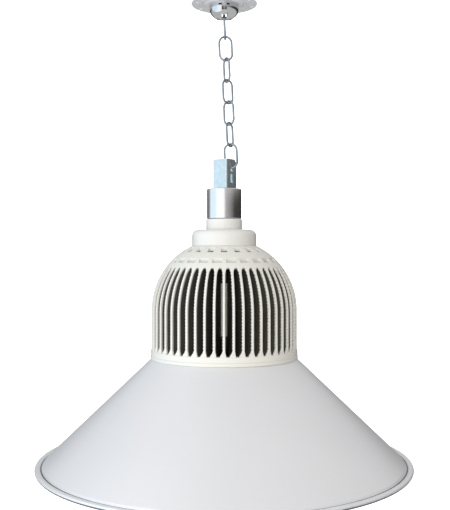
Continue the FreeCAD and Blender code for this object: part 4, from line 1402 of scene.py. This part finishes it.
    def core(self) -> bpy.types.Object:
        """The core tube that the fins grow from, bare casting darkened with painted shade."""
        top = self.high.z - self.core_fall
        foot = self.base_low + self.base_wall
        outline = [(self.chamber_r, top), (self.core_r, top), (self.core_r, foot),
                   (self.chamber_r, foot)]
        return place_mesh("bare_core", lathe(outline, 96), CAST_GREY_WITH_PAINTED_SHADE)

    def band(self) -> bpy.types.Object:
        """The pale band round the middle of the core, a painted highlight where light reaches
        the core between the fins.
        """
        low, high = self.band_low, self.band_high
        proud = self.core_r + self.band_proud
        return turned("core_band", [
            (self.core_r - 0.4, high), (proud, high, 0.5), (proud, low, 0.5),
            (self.core_r - 0.4, low),
        ], CORE_PAINTED_HIGHLIGHT, 96)

    def build(self) -> None:
        """Make and place the casting's pieces."""
        edges = ring_of("fin_edges", self.edge(), POWDER_COAT, self.fins, first_turn=-90.0)
        settle(edges, "lamp", "white_paint", "heatsink")
        # The webs' dark grey is partly painted shade between the fins.
        webs = ring_of("fin_webs", self.web(), CAST_GREY_WITH_PAINTED_SHADE, self.fins, first_turn=-90.0)
        settle(webs, "lamp", "white_paint")
        settle(self.crown(), "lamp", "white_paint")
        settle(self.foot_ring(), "lamp", "white_paint")
        # The core's dark grey is partly painted shade.
        settle(self.core(), "lamp", "white_paint")
        # The pale core band is a painted highlight.
        settle(self.band(), "lamp", "white_paint")


@dataclass
class ConeShade:
    """Spun reflector: bolted flange, long cone, outward lip and rolled bead."""

    wall: float = 1.2
    flange_r: float = 64.0
    top_r: float = 80.0
    low_r: float = 196.8
    drop: float = 110.5
    lip: float = 5.6
    lip_fall: float = 0.6
    bead_r: float = 2.4
    screw_circle_r: float = 70.5
    screw_hole_r: float = 2.15
    seam_proud: float = 0.12

    def shade(self) -> bpy.types.Object:
        """The spun shape with eased bends and a hollow rolled edge."""
        _, high = box_mm("reflector")
        top = high.z
        low = top - self.drop
        lip_r = self.low_r + self.lip
        lip_top = low - self.lip_fall
        bead = (lip_r, lip_top - self.bead_r)
        wall = self.wall
        outer = rounded([
            (self.flange_r, top), (self.top_r, top, 1.6), (self.low_r - 0.8, low + 0.6, 1.0),
            (self.low_r + 1.2, low - 2.6, 0.8), (self.low_r + 3.0, low - 0.9, 0.8),
            (lip_r, lip_top),
        ], closed=False, steps=6)
        roll = arc(bead, self.bead_r, 80, -150, 18)
        inner = rounded([
            (lip_r - 2.5, lip_top - 1.8), (self.low_r + 1.3, low - 3.9, 0.6),
            (self.low_r + 0.2, low - 3.3, 0.5), (self.low_r - 2.4, low + 0.8, 0.8),
            (self.top_r - 0.6 * wall, top - wall, 1.2), (self.flange_r, top - wall),
        ], closed=False, steps=6)
        shade = place_mesh("spun_cone_shade", lathe(outer + roll + inner, 256), SPUN_SILVER,
                           40.0)
        drill = pin(self.screw_hole_r, -3, 2, SPUN_SILVER)
        holes = ring_of("holes", drill, SPUN_SILVER, 6, self.screw_circle_r, top, -45.0)
        return cut(shade, [holes])

    def seam(self) -> bpy.types.Object:
        """Dull grey lines of painted shade where the rolled edge turns: in the groove and round
        the outside.
        """
        _, high = box_mm("reflector")
        low = high.z - self.drop
        middle = (self.low_r + self.lip, low - self.lip_fall - self.bead_r)
        groove = lathe([(self.low_r + 0.1, low - 1.5), (self.low_r + 2.5, low - 1.9),
                        (self.low_r + 1.9, low - 2.5), (self.low_r + 1.2, low - 2.7)], 256)
        outer = arc(middle, self.bead_r + self.seam_proud, -4, -62, 8)
        inner = arc(middle, self.bead_r - 0.3, -62, -4, 8)
        lines = [place_mesh("groove", groove, RIM_PAINTED_SHADE),
                 place_mesh("edge", lathe(outer + inner, 256), RIM_PAINTED_SHADE)]
        return place_mesh("rim_seam", merged(lines), RIM_PAINTED_SHADE)

    def build(self) -> None:
        """Make and place the shade."""
        settle(self.shade(), "lamp", "satin_aluminium", "reflector")
        # The rim's dull grey lines are painted shade.
        settle(self.seam(), "lamp", "satin_aluminium")


@dataclass
class LightUnit:
    """Board, domed chips, seal, lens and bezel under the casting."""

    chip_side: float = 4.0
    ring_r: float = 12.0
    ring_step: float = 12.0
    chip_base: tuple[float, float] = (1.0, 1.8)
    dome_r: float = 1.6
    dome_rise: float = 1.1
    bore_r: float = 61.8
    lip_r: float = 57.5
    lip_wall: float = 1.5
    flange_wall: float = 3.5
    hub_r: float = 66.0
    screw_circle_r: float = 70.5
    screw_hole_r: float = 2.15
    board_screw_circle_r: float = 48.0

    def chip(self, finish: Finish) -> bpy.types.Object:
        """One light chip: bevelled square base with a low silicone dome.

        Args:
            finish: Its surface.

        Returns:
            The chip, its dome pointing down.
        """
        side, radius, rise = self.chip_side / 2, self.dome_r, self.dome_rise
        corners = [(-side, -side), (side, -side), (side, side), (-side, side)]
        base = bevelled(place_mesh("base", extruded(corners, *self.chip_base), finish), 0.25)
        turns = [math.radians(angle) for angle in range(0, 90, 15)]
        line = [(radius * math.cos(turn), rise * (1 - math.sin(turn))) for turn in turns]
        outline = [(0.0, rise + 0.1), (radius, rise + 0.1)] + line + [(0.0, 0.0)]
        dome = place_mesh("dome", lathe(outline, 16), finish)
        return place_mesh("chip", merged([dome, base]), finish)

    def chips(self, name: str, node: str, slot: str, finish: Finish,
              places: Sequence[Point]) -> None:
        """Make and place one colour of chips, in sixes round the board.

        Args:
            name: The piece's name.
            node: The CAD node that it replaces.
            slot: The record's material slot.
            finish: Its surface.
            places: For each six, the number of its ring and its turn in degrees.
        """
        low, _ = box_mm(node)
        sixes = [ring_of("six", self.chip(finish), finish, 6,
                         self.ring_r + ring * self.ring_step, low.z, turn)
                 for ring, turn in places]
        settle(place_mesh(name, merged(sixes), finish), "lamp", slot, node)

    def bezel(self) -> bpy.types.Object:
        """The clamping ring with eased edges and screw holes."""
        low, high = box_mm("bezel")
        bore, outer = self.bore_r, high.x
        lens_low = low.z + self.lip_wall
        under = high.z - self.flange_wall
        ring = turned("clamping_bezel", [
            (bore, high.z), (outer, high.z, 0.4), (outer, under, 1.0),
            (self.hub_r, under, 1.0), (self.hub_r - 1, low.z, 1.2), (self.lip_r, low.z, 0.6),
            (self.lip_r, lens_low), (bore, lens_low),
        ], POWDER_COAT, 192, 4)
        drill = pin(self.screw_hole_r, -6, 2, POWDER_COAT)
        holes = ring_of("holes", drill, POWDER_COAT, 6, self.screw_circle_r, high.z, -45.0)
        return cut(ring, [holes])

    def lens(self) -> bpy.types.Object:
        """The flat glass with ground edges."""
        low, high = box_mm("lens")
        return turned("flat_lens", [
            (0.0, high.z), (high.x, high.z, 0.5), (high.x, low.z, 0.5), (0.0, low.z),
        ], LENS_GLASS, steps=3)

    def screws(self, name: str, node: str, size: tuple[float, float, float], count: int,
               circle_r: float, turn: float) -> None:
        """Make and place a ring of screws with their heads down.

        Args:
            name: The piece's name.
            node: The CAD node that it replaces.
            size: Shank radius, head radius and head height.
            count: How many screws.
            circle_r: Radius of their circle, in millimetres.
            turn: Turn of the first one, in degrees.
        """
        low, high = box_mm(node)
        seat = low.z + size[2]
        ring = ring_of(name, pan_screw(*size, high.z - seat, False), SCREW_STEEL, count,
                       circle_r, seat, turn)
        settle(ring, "lamp", "steel", node)

    def build(self) -> None:
        """Make and place the light unit's pieces."""
        self.chips("white_chip_set", "led_chips_white", "white_chip", CHIP_WHITE, [(0, 0)])
        self.chips("red_chip_set", "led_chips_red", "red_chip", CHIP_RED,
                   [(1, 0), (2, 10), (2, 30)])
        self.chips("blue_chip_set", "led_chips_blue", "blue_chip", CHIP_BLUE,
                   [(1, 30), (2, 50)])
        settle(self.bezel(), "lamp", "white_paint", "bezel")
        settle(self.lens(), "lamp", "clear_lens", "lens")
        self.screws("bezel_screw_set", "bezel_screws", LARGE_SCREW, 6, self.screw_circle_r,
                    -45.0)
        self.screws("board_screw_set", "board_screws", SMALL_SCREW, 4,
                    self.board_screw_circle_r, 45.0)
        dress_node("led_board", WHITE_BOARD)
        dress_node("thermal_pad", HEAT_PAD)
        dress_node("seal_ring", SILICONE)


@dataclass
class Driver:
    """The pieces shut inside the casting's chamber."""

    finishes: dict[str, Finish] = field(default_factory=lambda: {
        "driver_sleeve": LINER,
        "driver_board": GREEN_BOARD,
        "driver_transformer": FERRITE,
        "driver_capacitors": SLEEVE,
        "driver_coil": FERRITE,
        "input_leads": LEAD,
        "output_leads": LEAD,
    })

    def build(self) -> None:
        """Dress every piece of the driver."""
        for node, finish in self.finishes.items():
            dress_node(node, finish)


# ------------------------------------------------------------------ studio


@dataclass
class Studio:
    """Camera, pale cove and soft lights, in metres."""

    eye_distance: float = 0.9
    eye_height: float = -0.2789
    eye_side: float = 0.0009
    lens_mm: float = 57.34
    floor: float = -1.15
    back: float = 2.6
    pale_side: tuple[float, float, float] = (-0.65, -0.76, 0.0)
    day: str = "D3D2D3"
    dusk: str = "3A3836"
    window_way: tuple[float, float, float] = (-0.783, -0.622, 0.0)
    window_edge: float = 0.56
    window_light: tuple[float, float, float, float] = (1.36, 1.36, 1.4, 1.0)
    window_cool: tuple[float, float, float, float] = (0.95, 1.2, 1.42, 1.0)
    window_blur: float = 0.06
    pale_range: tuple[float, float] = (-0.4, 0.95)
    rise_range: tuple[float, float] = (0.1, 0.3)
    cool_range: tuple[float, float] = (-0.72, -0.9)
    fill_spot: tuple[float, float, float] = (-0.1, -2.4, -0.25)
    fill_size: tuple[float, float] = (0.6, 0.9)
    fill_power: float = 17.0
    cove_half: float = 4.0

    def camera(self) -> None:
        """A level camera in front of the lamp."""
        data = bpy.data.cameras.new("eye")
        data.lens = self.lens_mm
        data.sensor_width = 36.0
        data.clip_end = 40.0
        eye = bpy.data.objects.new("eye", data)
        eye.location = (self.eye_side, -self.eye_distance, self.eye_height)
        eye.rotation_euler = (math.pi / 2, 0, 0)
        bpy.context.scene.collection.objects.link(eye)
        bpy.context.scene.camera = eye

    def cove(self) -> None:
        """A pale floor that curves up into a wall behind the lamp."""
        line = [(-self.cove_half, self.floor), (self.back - 1.0, self.floor)]
        line += [(self.back - 1.0 + math.sin(math.radians(angle)),
                  self.floor + 1.0 - math.cos(math.radians(angle)))
                 for angle in range(10, 91, 10)]
        line.append((self.back, self.cove_half))
        mesh = bmesh.new()
        edges = [[mesh.verts.new((side / MM, depth / MM, height / MM))
                  for depth, height in line] for side in (-self.cove_half, self.cove_half)]
        for number in range(len(line) - 1):
            mesh.faces.new((edges[0][number], edges[1][number], edges[1][number + 1],
                            edges[0][number + 1]))
        cove = place_mesh("cove", mesh, PALE_FLOOR)
        cove.visible_diffuse = False
        cove.visible_glossy = False

    def soft_light(self, name: str, spot: Sequence[float], size: Sequence[float],
                   power: float, tint: str) -> bpy.types.Object:
        """A rectangular soft light aimed at the lamp's middle.

        Args:
            name: The light's name.
            spot: Where it stands.
            size: Its width and height.
            power: Its power in watts.
            tint: Its colour.

        Returns:
            The light.
        """
        data = bpy.data.lights.new(name, "AREA")
        data.shape = "RECTANGLE"
        data.size, data.size_y = size
        data.energy = power
        data.color = linear_colour(tint)[:3]
        light = bpy.data.objects.new(name, data)
        light.location = spot
        aim = Vector((0, 0, -0.3)) - Vector(spot)
        light.rotation_euler = aim.to_track_quat("-Z", "Y").to_euler()
        bpy.context.scene.collection.objects.link(light)
        return light

    def build(self) -> None:
        """Set up camera, cove, world and lights."""
        self.camera()
        self.cove()
        self.surround()
        bpy.context.scene.view_settings.view_transform = "Standard"
        fill = self.soft_light("front_fill", self.fill_spot, self.fill_size, self.fill_power,
                               "FFFAF2")
        fill.visible_glossy = False

    def surround(self) -> None:
        """A broad cool window on the left, pale above and below, dusky behind."""
        world = bpy.data.worlds.new("studio")
        world.use_nodes = True
        tree = world.node_tree
        way = add_node(tree, "ShaderNodeTexCoord").outputs["Generated"]
        front = add_node(tree, "ShaderNodeVectorMath", {"operation": "DOT_PRODUCT"},
                         in0=way, in1=self.pale_side)
        share = add_node(tree, "ShaderNodeMapRange", Value=front.outputs["Value"],
                         From_Min=self.pale_range[0], From_Max=self.pale_range[1])
        parts = add_node(tree, "ShaderNodeSeparateXYZ", Vector=way).outputs
        slope = maths(tree, "ABSOLUTE", parts["Z"])
        rise = add_node(tree, "ShaderNodeMapRange", {"interpolation_type": "SMOOTHSTEP"},
                        Value=slope, From_Min=self.rise_range[0],
                        From_Max=self.rise_range[1])
        pale = maths(tree, "ADD", share.outputs["Result"], rise.outputs["Result"], clamp=True)
        tone = blended(tree, pale, linear_colour(self.dusk), linear_colour(self.day))
        aim = add_node(tree, "ShaderNodeVectorMath", {"operation": "DOT_PRODUCT"},
                       in0=way, in1=self.window_way)
        pane = add_node(tree, "ShaderNodeMapRange", {"interpolation_type": "SMOOTHSTEP"},
                        Value=aim.outputs["Value"],
                        From_Min=self.window_edge - self.window_blur,
                        From_Max=self.window_edge + self.window_blur)
        cool = add_node(tree, "ShaderNodeMapRange", {"interpolation_type": "SMOOTHSTEP"},
                        Value=parts["X"], From_Min=self.cool_range[0],
                        From_Max=self.cool_range[1])
        glass = blended(tree, cool.outputs["Result"], self.window_light, self.window_cool)
        lit = blended(tree, pane.outputs["Result"], tone, glass)
        sky = tree.nodes["Background"]
        tree.links.new(lit, sky.inputs["Color"])
        bpy.context.scene.world = world


# ------------------------------------------------------------------ making


def main() -> None:
    """Build the studio and every sub-assembly in order."""
    logging.basicConfig(level=logging.INFO, format="%(name)s: %(message)s")
    Studio().build()
    for part in (CeilingMount, HangingChain, HangingBracket, Lampholder, NeckAndCap,
                 FinnedHeatsink, ConeShade, LightUnit, Driver):
        log.info("building %s", part.__name__)
        part().build()


if __name__ == "__main__":
    main()
